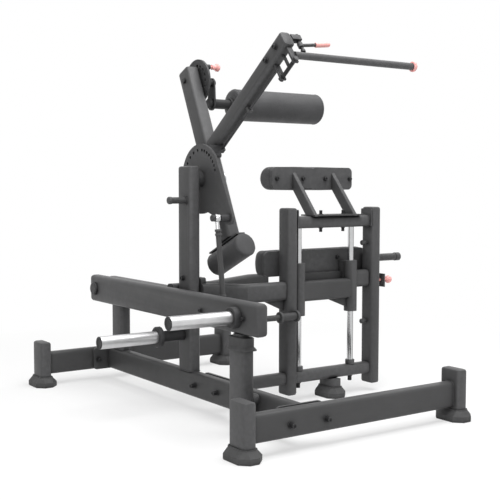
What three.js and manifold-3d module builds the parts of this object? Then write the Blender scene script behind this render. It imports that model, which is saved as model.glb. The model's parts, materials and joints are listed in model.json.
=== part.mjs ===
// A plate-loaded glute kickback machine: a floor frame with a column on the left, a weight lever
// under it, a selector plate and kick arm on one pivot, and a padded standing frame on the right.
// Lengths are millimetres, +Z is up, +X runs from the weight side to the standing side and +Y from
// the front rail to the rear rail. Places are measured from the front left foot post, and the
// finished group is then moved so that its origin lies under the middle of its footprint.
import * as THREE from "three";
import { mergeVertices } from "three/addons/utils/BufferGeometryUtils.js";
import Module from "manifold-3d";

const wasm = await Module();
wasm.setup();

// Clearances and drafting values: overrun is how far a cutter runs past what it cuts, bite how far a
// welded piece runs into the one that carries it, and the three edges are how far an end is cut back
const gap = 0.3;
const runningGap = 0.5;
const overrun = 6;
const bite = 1;
const fineEdge = 2;
const capEdge = 3;
const endEdge = 4;
const cornerSteps = 3;
const domeSteps = 2;
const roundSides = 20;
const smallSides = 12;
const holeSides = 10;
const hexSides = 6;

// Frame tube and plate stock
const tubeThickness = 50;
const tubeHeight = 100;
const tubeRadius = 15;
const plateThickness = 10;
const thinPlate = 6;
const domeHeight = 9;
const domeInset = 10;

// Bolts
const boltRadius = 8.5;
const boltHeadLength = 20;
const washerRadius = 12;
const washerThickness = 2.5;
const smallBoltShare = 0.75;

// Floor frame
const railBottom = 51;
const frontSpan = 990;
const rearSpan = 970;
const rearPostX = -80;
const baseLength = 1485;
const postTop = 200;
const beamX = 257;
const flangeWidth = 200;
const flangeBoltSpacing = 155;
const flangeBoltZ = 97;
const crossBoltZ = 103;
const crossBoltShift = 8;
const footHeight = 46;
const footFlare = 24;
const footRimHeight = 22;
const footChamfer = 30;
const footNeckChamfer = 12;
const footEdge = 4;
const footWall = 5;
const footFloor = 14;

// Column and rear stand
const columnY = 762;
const columnTop = 980;
const pegRadius = 13;
const pegFlangeRadius = 17;
const pegFlange = 5;
const pegCapRadius = 15;
const pegCapLength = 14;
const columnPegLength = 82;
const columnPegY = 745;
const columnPegZ = 843;
const columnBoltY = 767;
const columnBoltZ = 528;
const rearUprightInset = 118;
const rearUprightY = baseLength - rearUprightInset;
const topBeamTop = 482;
const topBeamInset = 29;
const topBeamEnd = baseLength - topBeamInset;

// Weight lever and its pivot
const leverThickness = 50;
const leverHeight = 120;
const leverX = 180;
const leverZ = 431;
const leverFrontY = 136;
const leverRearInset = 3;
const leverRearY = baseLength - leverRearInset;
const leverPivotInset = 60;
const leverPivotY = baseLength - leverPivotInset;
const leverDomeHeight = 18;
const leverDomeInset = 14;
const leverPinRadius = 16;
const leverBossRadius = 29;
const leverCapThickness = 13;
const leverFaceBoltY = 219;

// Plate horns
const sleeveRadius = 25;
const sleeveWall = 3;
const hornCollarRadius = 39;
const hornCollarLength = 28;
const hornY = 270;
const hornSleeveLength = 250;
const hornRecess = 8;
const storageY = 770;
const storageRise = 146;
const storageTubeRadius = 22.5;
const storageCollarRadius = 42;
const storageCollarLength = 18;
const storageReach = 126;
const storageSleeveLength = 248;

// Stop post under the lever
const stopY = 272;
const stopTop = 312;
const stopCapTop = 362;
const stopSkirtFlare = 9;
const stopBodyFlare = 2;
const stopSkirtHeight = 14;
const bumperWidth = 40;
const bumperDepth = 64;
const spacerRadius = 20;
const spacerUpperZ = 130;
const spacerLowerZ = 80;
const spacerOffset = 22;

// Main pivot, selector plate and connecting rod
const pivotY = 762;
const pivotZ = 929;
const shaftRadius = 20;
const hubRadius = 34;
const crankPlateX = 310;
const plateRimRadius = 142;
const selectorRadius = 117;
const selectorHoleRadius = 6.5;
const wideHoleAngle = 83;
const wideHolePitch = 16;
const wideHoles = 5;
const fineHoleAngle = 17.2;
const fineHolePitch = 9.4;
const fineHoles = 7;
const crankPinOut = 210;
const crankPinDown = 152;
const crankCornerRadius = 27;
const crankNeckRadius = 111;
const crankPinHead = 15;
const crankPinRadius = 8;
const crankBossRadius = 15;
const rodX = 257;
const rodEyeRadius = 17;
const rodEyeWidth = 22;
const rodShankRadius = 8.5;
const rodTubeRadius = 10.5;
const rodNutRadius = 13;
const rodNutLength = 8;
const rodTubeStart = 44;
const rodTubeEnd = 303;
const rodLowerY = 505;

// Kick arm and handle arm, welded in a Y
const armTilt = 24.6;
const armX = 352;
const armWidth = 60;
const armDepth = 80;
const armRadius = 13;
const armTop = 507;
const armBottom = 268;
const handleTurn = 77.5;
const handleInset = 5;
const handleWidth = 50;
const handleDepth = 65;
const handleRise = 111.5;
const handleReach = 702;
const handleBoltSpacing = 72;
const handleBoltInset = 50;
const kickPadDrop = 326;
const kickPadRadius = 50;
const kickPadEdge = 6;
const kickPadFront = 101;
const kickPadBack = 140;
const kickPlateWidth = 40;
const kickPlateThickness = 6;

// Selector pin, release rod and release lever
const pinRadius = 6;
const pinTaper = 2;
const selectorPinAngle = 54.8;
const housingRadius = 11;
const housingLength = 42;
const housingCorner = 2;
const saddleLength = 71;
const saddleWall = 4;
const selectorPinTail = 5;
const releaseRodRadius = 5;
const releaseRodX = 384;
const releaseRodRise = 64;
const releaseRodStart = 124;
const releaseRodInset = 124;
const releaseRodEnd = handleReach - releaseRodInset;
const releaseBore = 22;
const rodClipAt = 351;
const rodClipLength = 12;
const rodClipWidth = 20;
const bracketUpperInset = 21;
const bracketUpper = handleReach - bracketUpperInset;
const bracketSpan = 93;
const bracketLower = bracketUpper - bracketSpan;
const bracketThickness = 8;
const bracketWidth = 24;
const bracketX = 382;
const strutRise = 18;
const strutRadius = 8;
const strutNutRadius = 11;
const linkInset = 59;
const linkAt = handleReach - linkInset;
const linkWidth = 12;
const handleBarRise = 45;
const handleBarInset = 19;
const handleBarAt = handleReach - handleBarInset;
const handleBarRadius = 14;
const handleBarEnd = 983;
const handleCapRadius = 21;
const handleCapLength = 14;
const handleCapEdge = 5;
const releaseX = 440;
const releaseInset = 13;
const releaseAt = handleReach - releaseInset;
const releaseArmRise = 124;
const releasePinRadius = 6;
const releaseLeverRise = 92;
const releaseHubRadius = 11;
const releaseHubLength = 18;
const releaseTubeRadius = 6.5;
const releaseTubeLength = 64;
const releaseGripRadius = 9.5;
const releaseGripLength = 64;
const gripTaper = 6;
const releaseTilt = 8.6;

// Upper roller, its crank and its selector plate
const rollerPivotUp = 454;
const rollerPlateRadius = 95;
const rollerPlateThickness = 9.7;
const rollerHoleRadius = 67;
const rollerHoleAngle = 92;
const rollerHolePitch = 21.5;
const rollerHoles = 7;
const rollerPivotRadius = 10;
const rollerHubRadius = 17;
const rollerHubLength = 62;
const rollerCrankThickness = 8;
const rollerOffset = 88;
const rollerCrankTurn = 2;
const rollerAxleRadius = 21;
const rollerAxleGap = 1;
const rollerAxleTail = 22;
const rollerPlateFlange = 8;
const bushFlangeRadius = 27;
const bushFlangeLength = 12;
const rollerStart = 588;
const rollerEnd = 1067;
const rollerRadius = 71;
const rollerEdge = 12;
const rollerBoreEnd = 24;
const knobRadius = 17;
const knobStemRadius = 10.5;
const knobLength = 37;
const knobEdge = 4;
const knobDiscShare = 0.66;
const barrelRadius = 11;
const barrelLength = 52;

// Standing frame
const uprightDepth = 76;
const standY = 588;
const uprightLeftX = 628;
const uprightRightX = 1085;
const uprightBottom = 34;
const uprightTop = 810;
const crossTube = 50;
const topTubeBottom = 725;
const baseTubeBottom = 78;
const middlePostX = 857;
const crossFlangeWidth = 195;
const crossFlangeBoltSpacing = 164;
const guideRadius = 13;
const guideLeftX = 683;
const guideRightX = 967;
const bushRadius = 20;
const bushHeight = 19;
const stopperRadius = 11;
const stopperStemRadius = 7;
const stopperStemLength = 14;
const stopperEdge = 4;
const stopperLength = 34;
const stopperUpperZ = 654;
const stopperLowerZ = 309;
const barY = 526;
const barZ = 370;
const barStart = 300;
const barRadius = 12;
const barrelStart = 537;
const barrelEnd = 630;
const barBarrelRadius = 16;
const barCollarRadius = 23;
const barCollarLength = 10;

// Middle frame between the column and the standing frame
const middleHeight = 76;
const middleBottom = 431;
const middleCornerX = 419;
const lugDepth = 24;
const lugBottom = 425;
const lugTop = 530;
const gussetLength = 100;
const gussetDrop = 44;
const braceHeight = 80;
const braceTop = 500;
const braceStartX = 212;
const braceBendX = 415;
const braceOutX = 712;
const braceOutY = 988;
const braceEndX = 800;

// Sliding carriage with the hip pad
const sleeveOuter = 28;
const sleeveBottom = 361;
const sleeveTop = 580;
const carriageTubeBottom = 419;
const carriageTubeHeight = 84;
const tabEnd = 1055;
const tabBottom = 463;
const tabHeight = 73;
const tabThickness = 40;
const backBarY = 628;
const backBarThickness = 22;
const backBarBottom = 456;
const backBarTop = 531;
const backBarEnd = 1130;
const uprightArmTop = 600;
const uprightArmX = 1086;
const padLugTop = 575;
const padLugWidth = 34;
const pinPlateX = 1138;
const pinPlateThickness = 6;
const pinPlateY = 560;
const pinPlateTop = 514;
const heightPinZ = 485;
const heightHolePitch = 35;
const heightHolesUp = 3;
const heightHolesDown = 4;
const heightHoleDepth = 20;
const ballRadius = 17.5;
const ballSeatShare = 0.9;
const ballX = 1187;
const carriageHandleZ = 580;
const carriageHandleRadius = 16.5;
const carriageHandleLength = 170;

// Pads
const boardThickness = 15;
const hipBoardX = 553;
const hipBoardLength = 547;
const hipBoardBottom = 523;
const hipBoardHeight = 105;
const hipFoamThickness = 74;
const hipFoamRadius = 27;
const chestBoardX = 628;
const chestBoardLength = 439;
const chestBoardBottom = 884;
const chestBoardHeight = 97;
const chestBoardY = 700;
const chestFoamThickness = 98;
const foamProud = 4;
const boardCorner = 22;
const waistDepth = 5;
const waistHalfLength = 26;
const waistShift = -24;
const chestArmWidth = 19;
const chestArmDepth = 50;
const chestArmAngle = 49.5;
const chestArmRise = 36;
const chestArmLength = 320;
const chestArmLeftX = 735;
const chestArmRightX = 950;
const chestBoltInset = 65;
const chestBoltSpacing = 122;
const topBoltNear = chestArmLeftX + chestBoltInset;
const topBoltFar = topBoltNear + chestBoltSpacing;
const chestPlateLength = 265;
const chestPlateY = 546;
const chestPlateDepth = 94;
const padCrown = 7;
const padDrawIn = 3;
const crownSteps = 8;

// Surface finishes
function finish(color, roughness, metalness) {
  return new THREE.MeshStandardMaterial({ color, roughness, metalness });
}
const paint = () => finish(0x4c4c4e, 0.5, 0.2);
const chrome = () => finish(0xd4d6d8, 0.2, 1);
const steel = () => finish(0x8e9194, 0.35, 1);
const blackZinc = () => finish(0x1d1d1f, 0.4, 0.5);
const rubber = () => finish(0x2b2b2d, 0.8, 0);
const vinyl = () => finish(0x434345, 0.65, 0);
const board = () => finish(0x38383a, 0.7, 0);
const pink = () => finish(0xee9a97, 0.55, 0);

// A closed geometry as a solid that can be joined and cut
function solid(geometry) {
  const bare = geometry.clone();
  bare.deleteAttribute("normal");
  bare.deleteAttribute("uv");
  const merged = mergeVertices(bare, gap / 1000);
  return new wasm.Manifold(
    new wasm.Mesh({
      numProp: 3,
      vertProperties: new Float32Array(merged.attributes.position.array),
      triVerts: new Uint32Array(merged.index.array),
    }),
  );
}

// A solid's surface as a flat-shaded geometry
function geometryOf(shape) {
  const mesh = shape.getMesh();
  const indexed = new THREE.BufferGeometry();
  indexed.setAttribute("position", new THREE.BufferAttribute(mesh.vertProperties, mesh.numProp));
  indexed.setIndex(new THREE.BufferAttribute(mesh.triVerts, 1));
  const flat = indexed.toNonIndexed();
  flat.computeVertexNormals();
  return flat;
}

const join = (first, ...others) => others.reduce((sum, next) => sum.add(solid(next)), solid(first));
const cut = (shape, ...tools) => tools.reduce((rest, tool) => rest.subtract(solid(tool)), shape);

// Turns that carry a shape drawn on XY and raised along Z so that it is raised along X or Y
const alongX = new THREE.Matrix4().makeBasis(
  new THREE.Vector3(0, 1, 0),
  new THREE.Vector3(0, 0, 1),
  new THREE.Vector3(1, 0, 0),
);
const alongY = new THREE.Matrix4().makeBasis(
  new THREE.Vector3(0, 0, 1),
  new THREE.Vector3(1, 0, 0),
  new THREE.Vector3(0, 1, 0),
);

// Points round a rectangle with round corners, anticlockwise, drawn in by inset
function roundedRing(width, depth, radius, inset = 0) {
  const points = [];
  const corner = Math.max(radius - inset, gap);
  const x = width / 2 - inset - corner;
  const y = depth / 2 - inset - corner;
  const centres = [[x, y], [-x, y], [-x, -y], [x, -y]];
  centres.forEach(([cx, cy], quarter) => {
    for (let step = 0; step <= cornerSteps; step += 1) {
      const angle = ((quarter + step / cornerSteps) * Math.PI) / 2;
      points.push([cx + corner * Math.cos(angle), cy + corner * Math.sin(angle)]);
    }
  });
  return points;
}

// Points round a rectangle with cut corners
function chamferedRing(width, depth, chamfer) {
  const x = width / 2;
  const y = depth / 2;
  return [
    [x, y - chamfer], [x - chamfer, y], [-x + chamfer, y], [-x, y - chamfer],
    [-x, -y + chamfer], [-x + chamfer, -y], [x - chamfer, -y], [x, -y + chamfer],
  ];
}

// A closed skin over rings of points that all have the same count
function skin(rings) {
  const count = rings[0].length;
  const positions = rings.flat().flatMap((p) => [p.x, p.y, p.z]);
  const index = [];
  for (let r = 0; r + 1 < rings.length; r += 1) {
    for (let i = 0; i < count; i += 1) {
      const a = r * count + i;
      const b = r * count + ((i + 1) % count);
      index.push(a, b, b + count, a, b + count, a + count);
    }
  }
  const last = (rings.length - 1) * count;
  for (let i = 1; i + 1 < count; i += 1) {
    index.push(0, i + 1, i);
    index.push(last, last + i, last + i + 1);
  }
  const geometry = new THREE.BufferGeometry();
  geometry.setAttribute("position", new THREE.Float32BufferAttribute(positions, 3));
  geometry.setIndex(index);
  return geometry;
}

const level = (ring, z) => ring.map(([x, y]) => new THREE.Vector3(x, y, z));

// A round-cornered tube standing on Z from bottom to top, with a domed end where one is asked for
function tube(width, depth, bottom, top, {
  radius = tubeRadius, low = false, high = false, dome = domeHeight, inset = domeInset,
} = {}) {
  const stations = [];
  const step = (end, side) => {
    for (let i = domeSteps; i >= 1; i -= 1) {
      const angle = ((i / domeSteps) * Math.PI) / 2;
      stations.push([end - side * dome * (1 - Math.sin(angle)), inset * (1 - Math.cos(angle))]);
    }
  };
  if (low) step(bottom, -1);
  stations.push([low ? bottom + dome : bottom, 0]);
  stations.push([high ? top - dome : top, 0]);
  if (high) {
    const mark = stations.length;
    step(top, 1);
    stations.push(...stations.splice(mark).reverse());
  }
  return skin(stations.map(([z, drawn]) => level(roundedRing(width, depth, radius, drawn), z)));
}

// The same tube lying along X (width on Y, depth on Z) or along Y (width on Z, depth on X)
const tubeX = (...sizes) => tube(...sizes).applyMatrix4(alongX);
const tubeY = (...sizes) => tube(...sizes).applyMatrix4(alongY);

// A tube of upright section that follows level points with mitred bends
function mitredTube(path, width, height, bottom) {
  const ring = roundedRing(width, height, tubeRadius);
  const points = path.map(([x, y]) => new THREE.Vector2(x, y));
  const runs = points.slice(1).map((p, i) => p.clone().sub(points[i]).normalize());
  const rings = points.map((point, i) => {
    const before = runs[Math.max(i - 1, 0)];
    const after = runs[Math.min(i, runs.length - 1)];
    const bisector = before.clone().add(after).normalize();
    const side = new THREE.Vector2(-bisector.y, bisector.x);
    side.multiplyScalar(1 / bisector.dot(after));
    return ring.map(([across, up]) => new THREE.Vector3(
      point.x + side.x * across,
      point.y + side.y * across,
      bottom + height / 2 + up,
    ));
  });
  return skin(rings);
}

// A turned piece from [radius, height] pairs, standing on Z
function turned(profile, sides = roundSides) {
  const points = profile.map(([radius, height]) => new THREE.Vector2(radius, height));
  return new THREE.LatheGeometry(points, sides).rotateX(Math.PI / 2);
}
const turnedX = (profile, sides) => turned(profile, sides).applyMatrix4(alongX);
const turnedY = (profile, sides) => turned(profile, sides).applyMatrix4(alongY);

// A round bar from one height to another, as a turned profile
const rodProfile = (radius, from, to) => [[0, from], [radius, from], [radius, to], [0, to]];
const pipeProfile = (inner, outer, from, to) => [
  [inner, from], [outer, from], [outer, to], [inner, to], [inner, from],
];

// A hex-less cap screw: washer and rounded head, standing on a face at height from
function boltProfile(from, length = boltHeadLength, share = 1) {
  const side = Math.sign(length);
  const washer = washerRadius * share;
  const head = boltRadius * share;
  const seat = from + side * washerThickness;
  const points = [
    [0, from - side], [washer, from - side], [washer, seat],
    [head, seat], [head, from + length], [0, from + length],
  ];
  return side > 0 ? points : points.reverse();
}

const moved = (geometry, x, y, z) => geometry.clone().translate(x, y, z);
const block = (x0, x1, y0, y1, z0, z1) => new THREE.BoxGeometry(x1 - x0, y1 - y0, z1 - z0)
  .translate((x0 + x1) / 2, (y0 + y1) / 2, (z0 + z1) / 2);

// A flat outline of points on the YZ plane, raised along X from one place to another
function plateX(shape, from, to, curveSegments = cornerSteps * 2) {
  const settings = { depth: to - from, bevelEnabled: false, curveSegments };
  return new THREE.ExtrudeGeometry(shape, settings).applyMatrix4(alongX).translate(from, 0, 0);
}

// A triangle on the XZ plane, raised along Y about a middle plane
function gusset(corners, y, thickness) {
  const shape = new THREE.Shape(corners.map(([x, z]) => new THREE.Vector2(z, x)));
  const settings = { depth: thickness, bevelEnabled: false };
  return new THREE.ExtrudeGeometry(shape, settings).applyMatrix4(alongY).translate(0, y - thickness / 2, 0);
}

// The outline round two or more circles, as the hull of their rims
function hullShape(circles) {
  const rim = [];
  circles.forEach(([cx, cy, radius, sides = roundSides]) => {
    for (let i = 0; i < sides; i += 1) {
      const angle = (i / sides) * Math.PI * 2;
      rim.push(new THREE.Vector2(cx + radius * Math.cos(angle), cy + radius * Math.sin(angle)));
    }
  });
  rim.sort((a, b) => a.x - b.x || a.y - b.y);
  const turnOf = (o, a, b) => (a.x - o.x) * (b.y - o.y) - (a.y - o.y) * (b.x - o.x);
  const half = (list) => {
    const chain = [];
    list.forEach((p) => {
      while (chain.length > 1 && turnOf(chain.at(-2), chain.at(-1), p) <= 0) chain.pop();
      chain.push(p);
    });
    return chain.slice(0, -1);
  };
  return new THREE.Shape([...half(rim), ...half([...rim].reverse())]);
}

// A round hole in such an outline, clear of its radius on every facet
const holeFacets = cornerSteps * 4;
const holePath = (y, z, radius) => new THREE.Path()
  .absarc(y, z, radius / Math.cos(Math.PI / holeFacets), 0, Math.PI * 2, true);

function add(parent, name, geometry, material, x = 0, y = 0, z = 0) {
  const mesh = new THREE.Mesh(geometry, material);
  mesh.name = name;
  mesh.position.set(x, y, z);
  parent.add(mesh);
  return mesh;
}

function group(parent, x, y, z, turn = 0) {
  const made = new THREE.Group();
  made.position.set(x, y, z);
  made.rotation.x = THREE.MathUtils.degToRad(turn);
  parent.add(made);
  return made;
}

const machine = new THREE.Group();
const frame = group(machine, 0, 0, 0);
const railTop = railBottom + tubeHeight;
const storageZ = railTop + storageRise;
const half = tubeThickness / 2;

// Foot boots: moulded rubber cups with a cut-cornered flare, one under every post
function footBoot() {
  const wide = tubeThickness + 2 * footFlare;
  const long = tubeHeight + 2 * footFlare;
  const neck = 2 * footWall;
  const outside = skin([
    level(chamferedRing(wide - footEdge, long - footEdge, footChamfer), 0),
    level(chamferedRing(wide, long, footChamfer), footEdge),
    level(chamferedRing(wide, long, footChamfer), footRimHeight),
    level(chamferedRing(tubeThickness + neck, tubeHeight + neck, footNeckChamfer), footHeight - footEdge),
    level(chamferedRing(tubeThickness + neck, tubeHeight + neck, footNeckChamfer), footHeight),
  ]);
  const pocket = tube(tubeThickness + 2 * gap, tubeHeight + 2 * gap, footFloor, footHeight + overrun);
  return geometryOf(cut(solid(outside), pocket));
}

// End rails: one tube welded between two posts, bolted to the flange of the middle beam
const post = (top) => tube(tubeThickness, tubeHeight, footFloor + gap, top, { high: true });
function endRail(span, boltSide) {
  const bolts = [-1, 1].map((side) => moved(
    turnedY(boltProfile(boltSide * half, boltSide * boltHeadLength), smallSides),
    side * flangeBoltSpacing / 2, 0, flangeBoltZ,
  ));
  return (boltX) => geometryOf(join(
    moved(tubeX(tubeThickness, tubeHeight, 0, span), 0, 0, railBottom + tubeHeight / 2),
    post(postTop),
    moved(post(postTop), span, 0, 0),
    ...bolts.map((bolt) => moved(bolt, boltX, 0, 0)),
  ));
}
add(frame, "front_rail", endRail(frontSpan, -1)(beamX), paint());
add(frame, "rear_rail", endRail(rearSpan, 1)(beamX - rearPostX), paint(), rearPostX, baseLength, 0);
const feet = [
  ["foot_front_left", 0, 0],
  ["foot_front_right", frontSpan, 0],
  ["foot_rear_left", rearPostX, baseLength],
  ["foot_rear_right", rearPostX + rearSpan, baseLength],
  ["foot_middle", middlePostX, standY],
];
feet.forEach(([name, x, y]) => add(frame, name, footBoot(), rubber(), x, y, 0));

// Middle beam: one tube between the end rails with a bolt flange on each end
const flangeMiddle = railBottom + tubeHeight / 2;
function endFlange(y, boltSide) {
  const nuts = [-1, 1].map((side) => moved(
    turnedY(boltProfile(y + boltSide * plateThickness / 2, boltSide * boltHeadLength), smallSides),
    beamX + side * flangeBoltSpacing / 2, 0, flangeBoltZ,
  ));
  const plate = moved(
    tubeY(tubeHeight, flangeWidth, -plateThickness / 2, plateThickness / 2),
    beamX, y, flangeMiddle,
  );
  return [plate, ...nuts];
}
const crossBolts = [-1, 1].map((side) => moved(
  turnedX(boltProfile(beamX - half, -boltHeadLength), smallSides),
  0, standY + crossBoltShift + side * crossFlangeBoltSpacing / 2, crossBoltZ,
));
add(frame, "central_beam", geometryOf(join(
  moved(tubeY(tubeHeight, tubeThickness, half + bite, baseLength - half - bite), beamX, 0, flangeMiddle),
  ...endFlange(half + plateThickness / 2, 1),
  ...endFlange(baseLength - half - plateThickness / 2, -1),
  ...crossBolts,
)), paint());

// Column with a domed cap and a short band peg on its outer face
const columnFace = beamX - half;
const columnPeg = moved(turnedX([
  [0, -columnPegLength], [pegCapRadius - capEdge, -columnPegLength],
  [pegCapRadius, capEdge - columnPegLength],
  [pegCapRadius, pegCapLength - columnPegLength], [pegRadius, pegCapLength - columnPegLength],
  [pegRadius, -pegFlange], [pegFlangeRadius, -pegFlange], [pegFlangeRadius, 1], [0, 1],
], smallSides), columnFace, columnPegY, columnPegZ);
add(frame, "column", geometryOf(join(
  moved(tube(tubeThickness, tubeHeight, railTop, columnTop, { high: true }), beamX, columnY, 0),
  columnPeg,
  moved(turnedX(boltProfile(columnFace, -boltHeadLength / 2), smallSides), 0, columnBoltY, columnBoltZ),
)), paint());

// Rear stand: an upright and the top beam that runs forward to the back of the column
const topBeamBottom = topBeamTop - tubeHeight;
const columnBack = columnY + tubeHeight / 2;
const topBeam = moved(
  tubeY(tubeHeight, tubeThickness, columnBack + tubeThickness, topBeamEnd, { high: true }),
  0, 0, topBeamBottom + tubeHeight / 2,
);
add(frame, "rear_stand", geometryOf(join(
  topBeam,
  moved(tube(tubeThickness, tubeHeight, railTop, topBeamBottom + bite), 0, rearUprightY, 0),
)), paint(), beamX, 0, 0);

// Middle frame: a bolted lug on the column and a mitred tube out to the left upright
const columnRight = beamX + half;
const uprightLeftFace = uprightLeftX - half;
const middleFront = mitredTube(
  [[columnRight, columnY - (middleCornerX - columnRight) / 4], [middleCornerX, standY],
  [uprightLeftFace, standY]],
  tubeThickness, middleHeight, middleBottom,
);
const lugMiddle = (lugBottom + lugTop) / 2;
const lug = moved(
  tubeX(tubeHeight, lugTop - lugBottom, 0, lugDepth, { radius: domeInset }),
  columnRight, columnY, lugMiddle,
);
add(frame, "middle_frame_tube", geometryOf(cut(
  join(
    middleFront,
    lug,
    gusset([
      [uprightLeftFace, middleBottom + bite],
      [uprightLeftFace, middleBottom - gussetDrop],
      [uprightLeftFace - gussetLength, middleBottom + bite],
    ], standY, thinPlate),
  ),
  block(columnFace, columnRight, columnY - tubeHeight, columnY + tubeHeight, 0, columnTop),
)), paint());
add(frame, "rear_brace_tube", mitredTube([
  [braceStartX, columnBack + half],
  [braceBendX, columnBack + half],
  [braceOutX, braceOutY],
  [braceEndX, braceOutY],
], tubeThickness, braceHeight, braceTop - braceHeight), paint());

// Base cross tubes: the left one carries the bolt flange, the right one stands on the middle post
const baseTubeMiddle = baseTubeBottom + crossTube / 2;
const crossFlange = moved(
  tubeX(crossFlangeWidth, tubeHeight, 0, plateThickness),
  columnRight, standY, flangeMiddle,
);
add(frame, "base_cross_tube_left", geometryOf(join(
  crossFlange,
  moved(tubeX(crossTube, crossTube, columnRight + bite, uprightLeftFace), 0, standY, baseTubeMiddle),
)), paint());
const uprightLeftInner = uprightLeftX + half;
const uprightRightFace = uprightRightX - half;
const bushes = [guideLeftX, guideRightX].map((x) => moved(
  turned(pipeProfile(guideRadius + gap, bushRadius, 0, bushHeight + bite)),
  x, standY, baseTubeBottom + crossTube - bite,
));
const rodWells = [guideLeftX, guideRightX].map((x) => moved(
  turned(rodProfile(guideRadius + gap, -crossTube / 2, crossTube)),
  x, standY, baseTubeBottom + crossTube,
));
const guideNuts = [guideLeftX, guideRightX].map((x) => moved(
  turned(boltProfile(baseTubeBottom, -boltHeadLength), smallSides), x, standY, 0,
));
const middlePost = moved(
  tube(tubeThickness, tubeHeight, footFloor + gap, baseTubeBottom + bite), middlePostX, standY, 0,
);
add(frame, "base_cross_tube_right", geometryOf(cut(
  join(
    moved(tubeX(crossTube, crossTube, uprightLeftInner, uprightRightFace), 0, standY, baseTubeMiddle),
    middlePost, ...bushes, ...guideNuts,
  ),
  ...rodWells,
)), paint());

// Uprights of the standing frame; the right one has the height holes in its outer face
const upright = () => tube(
  tubeThickness, uprightDepth, uprightBottom, uprightTop, { low: true, high: true },
);
add(frame, "upright_left", upright(), paint(), uprightLeftX, standY, 0);
const uprightOuter = uprightRightX + half;
const heightHoles = [];
for (let i = -heightHolesDown; i <= heightHolesUp; i += 1) {
  heightHoles.push(moved(
    turnedX(rodProfile(selectorHoleRadius, half - heightHoleDepth, half + overrun), holeSides),
    0, 0, heightPinZ + i * heightHolePitch,
  ));
}
add(frame, "upright_right", geometryOf(cut(solid(upright()), ...heightHoles)),
  paint(), uprightRightX, standY, 0);

// Top cross tube with the nuts of the chest pad bolts under it
const topBolts = [topBoltNear, topBoltFar];
const topTube = moved(
  tubeX(crossTube, crossTube, uprightLeftInner, uprightRightFace),
  0, standY, topTubeBottom + crossTube / 2,
);
const topNuts = topBolts.map((x) => moved(
  turned(boltProfile(topTubeBottom, -boltHeadLength * smallBoltShare, smallBoltShare), smallSides),
  x, standY, 0,
));
add(frame, "top_cross_tube", geometryOf(join(topTube, ...topNuts)), paint());

// Chrome guide rods that stand in the base tube and end under the top tube
[["guide_rod_left", guideLeftX], ["guide_rod_right", guideRightX]].forEach(([name, x]) => {
  const low = baseTubeBottom + crossTube / 2 + gap;
  add(frame, name, turned(rodProfile(guideRadius, low, topTubeBottom)), chrome(), x, standY, 0);
});

// Rubber stoppers on the inner face of the right upright
[["stopper_upper", stopperUpperZ], ["stopper_lower", stopperLowerZ]].forEach(([name, z]) => {
  const profile = [
    [0, -stopperLength], [stopperRadius - stopperEdge, -stopperLength],
    [stopperRadius, stopperEdge - stopperLength], [stopperRadius, -stopperStemLength],
    [stopperStemRadius, -stopperStemLength], [stopperStemRadius, 0], [0, 0],
  ];
  add(frame, name, turnedX(profile, smallSides), rubber(), uprightRightFace, standY, z);
});

// Grab bar with a flanged barrel on the front of the left upright
const barSaddle = standY - uprightDepth / 2;
add(frame, "grab_bar", geometryOf(join(
  moved(turnedX([
    [0, barStart], [barRadius - fineEdge, barStart], [barRadius, barStart + fineEdge],
    [barRadius, barrelStart],
    [barCollarRadius, barrelStart], [barCollarRadius, barrelStart + barCollarLength],
    [barBarrelRadius, barrelStart + barCollarLength], [barBarrelRadius, barrelEnd - barCollarLength],
    [barCollarRadius, barrelEnd - barCollarLength], [barCollarRadius, barrelEnd], [0, barrelEnd],
  ]), 0, barY, barZ),
  block(uprightLeftFace + tubeRadius / 3, barrelEnd - barCollarLength, barY, barSaddle,
    barZ - barBarrelRadius / 2, barZ + barBarrelRadius / 2),
)), paint());

// Stop post bolted beside the middle beam, with a moulded cap and buffer under the weight lever
const spacers = [[spacerUpperZ, -spacerOffset], [spacerLowerZ, spacerOffset]].map(([z, shift]) => moved(
  turnedX(rodProfile(spacerRadius, leverX + half - bite, columnFace)), 0, stopY + shift, z,
));
add(frame, "stop_post", geometryOf(join(
  moved(tube(leverThickness, tubeHeight, railBottom, stopTop, { low: true }), leverX, stopY, 0),
  ...spacers,
)), paint());
const leverBottom = leverZ - leverHeight / 2;
add(frame, "stop_cap", geometryOf(join(
  skin([
    [stopSkirtFlare, stopTop], [stopSkirtFlare, stopTop + footEdge],
    [stopBodyFlare, stopTop + stopSkirtHeight], [stopBodyFlare, stopCapTop - footEdge],
    [-footEdge, stopCapTop],
  ].map(([flare, z]) => level(
    roundedRing(tubeThickness + 2 * flare, tubeHeight + 2 * flare, tubeRadius), z,
  ))),
  tube(bumperWidth, bumperDepth, stopCapTop - bite, leverBottom - gap),
)), rubber(), leverX, stopY, 0);

// Storage horn on the column: a stub tube with a collar and a chrome sleeve
const storageTip = -storageReach - storageSleeveLength;
add(frame, "storage_horn", turnedX([
  [0, storageTip + hornRecess], [sleeveRadius - sleeveWall - gap, storageTip + hornRecess],
  [sleeveRadius - sleeveWall - gap, -storageReach - gap],
  [storageCollarRadius - capEdge, -storageReach - gap],
  [storageCollarRadius, capEdge - storageReach], [storageCollarRadius, storageCollarLength - storageReach],
  [storageTubeRadius, storageCollarLength - storageReach], [storageTubeRadius, 0], [0, 0],
]), paint(), columnFace, storageY, storageZ);
const sleeveShell = (from, to) => turnedX(
  pipeProfile(sleeveRadius - sleeveWall, sleeveRadius, from, to), roundSides + 4,
);
add(frame, "storage_sleeve", sleeveShell(storageTip, -storageReach - 2 * gap),
  chrome(), columnFace, storageY, storageZ);

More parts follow.
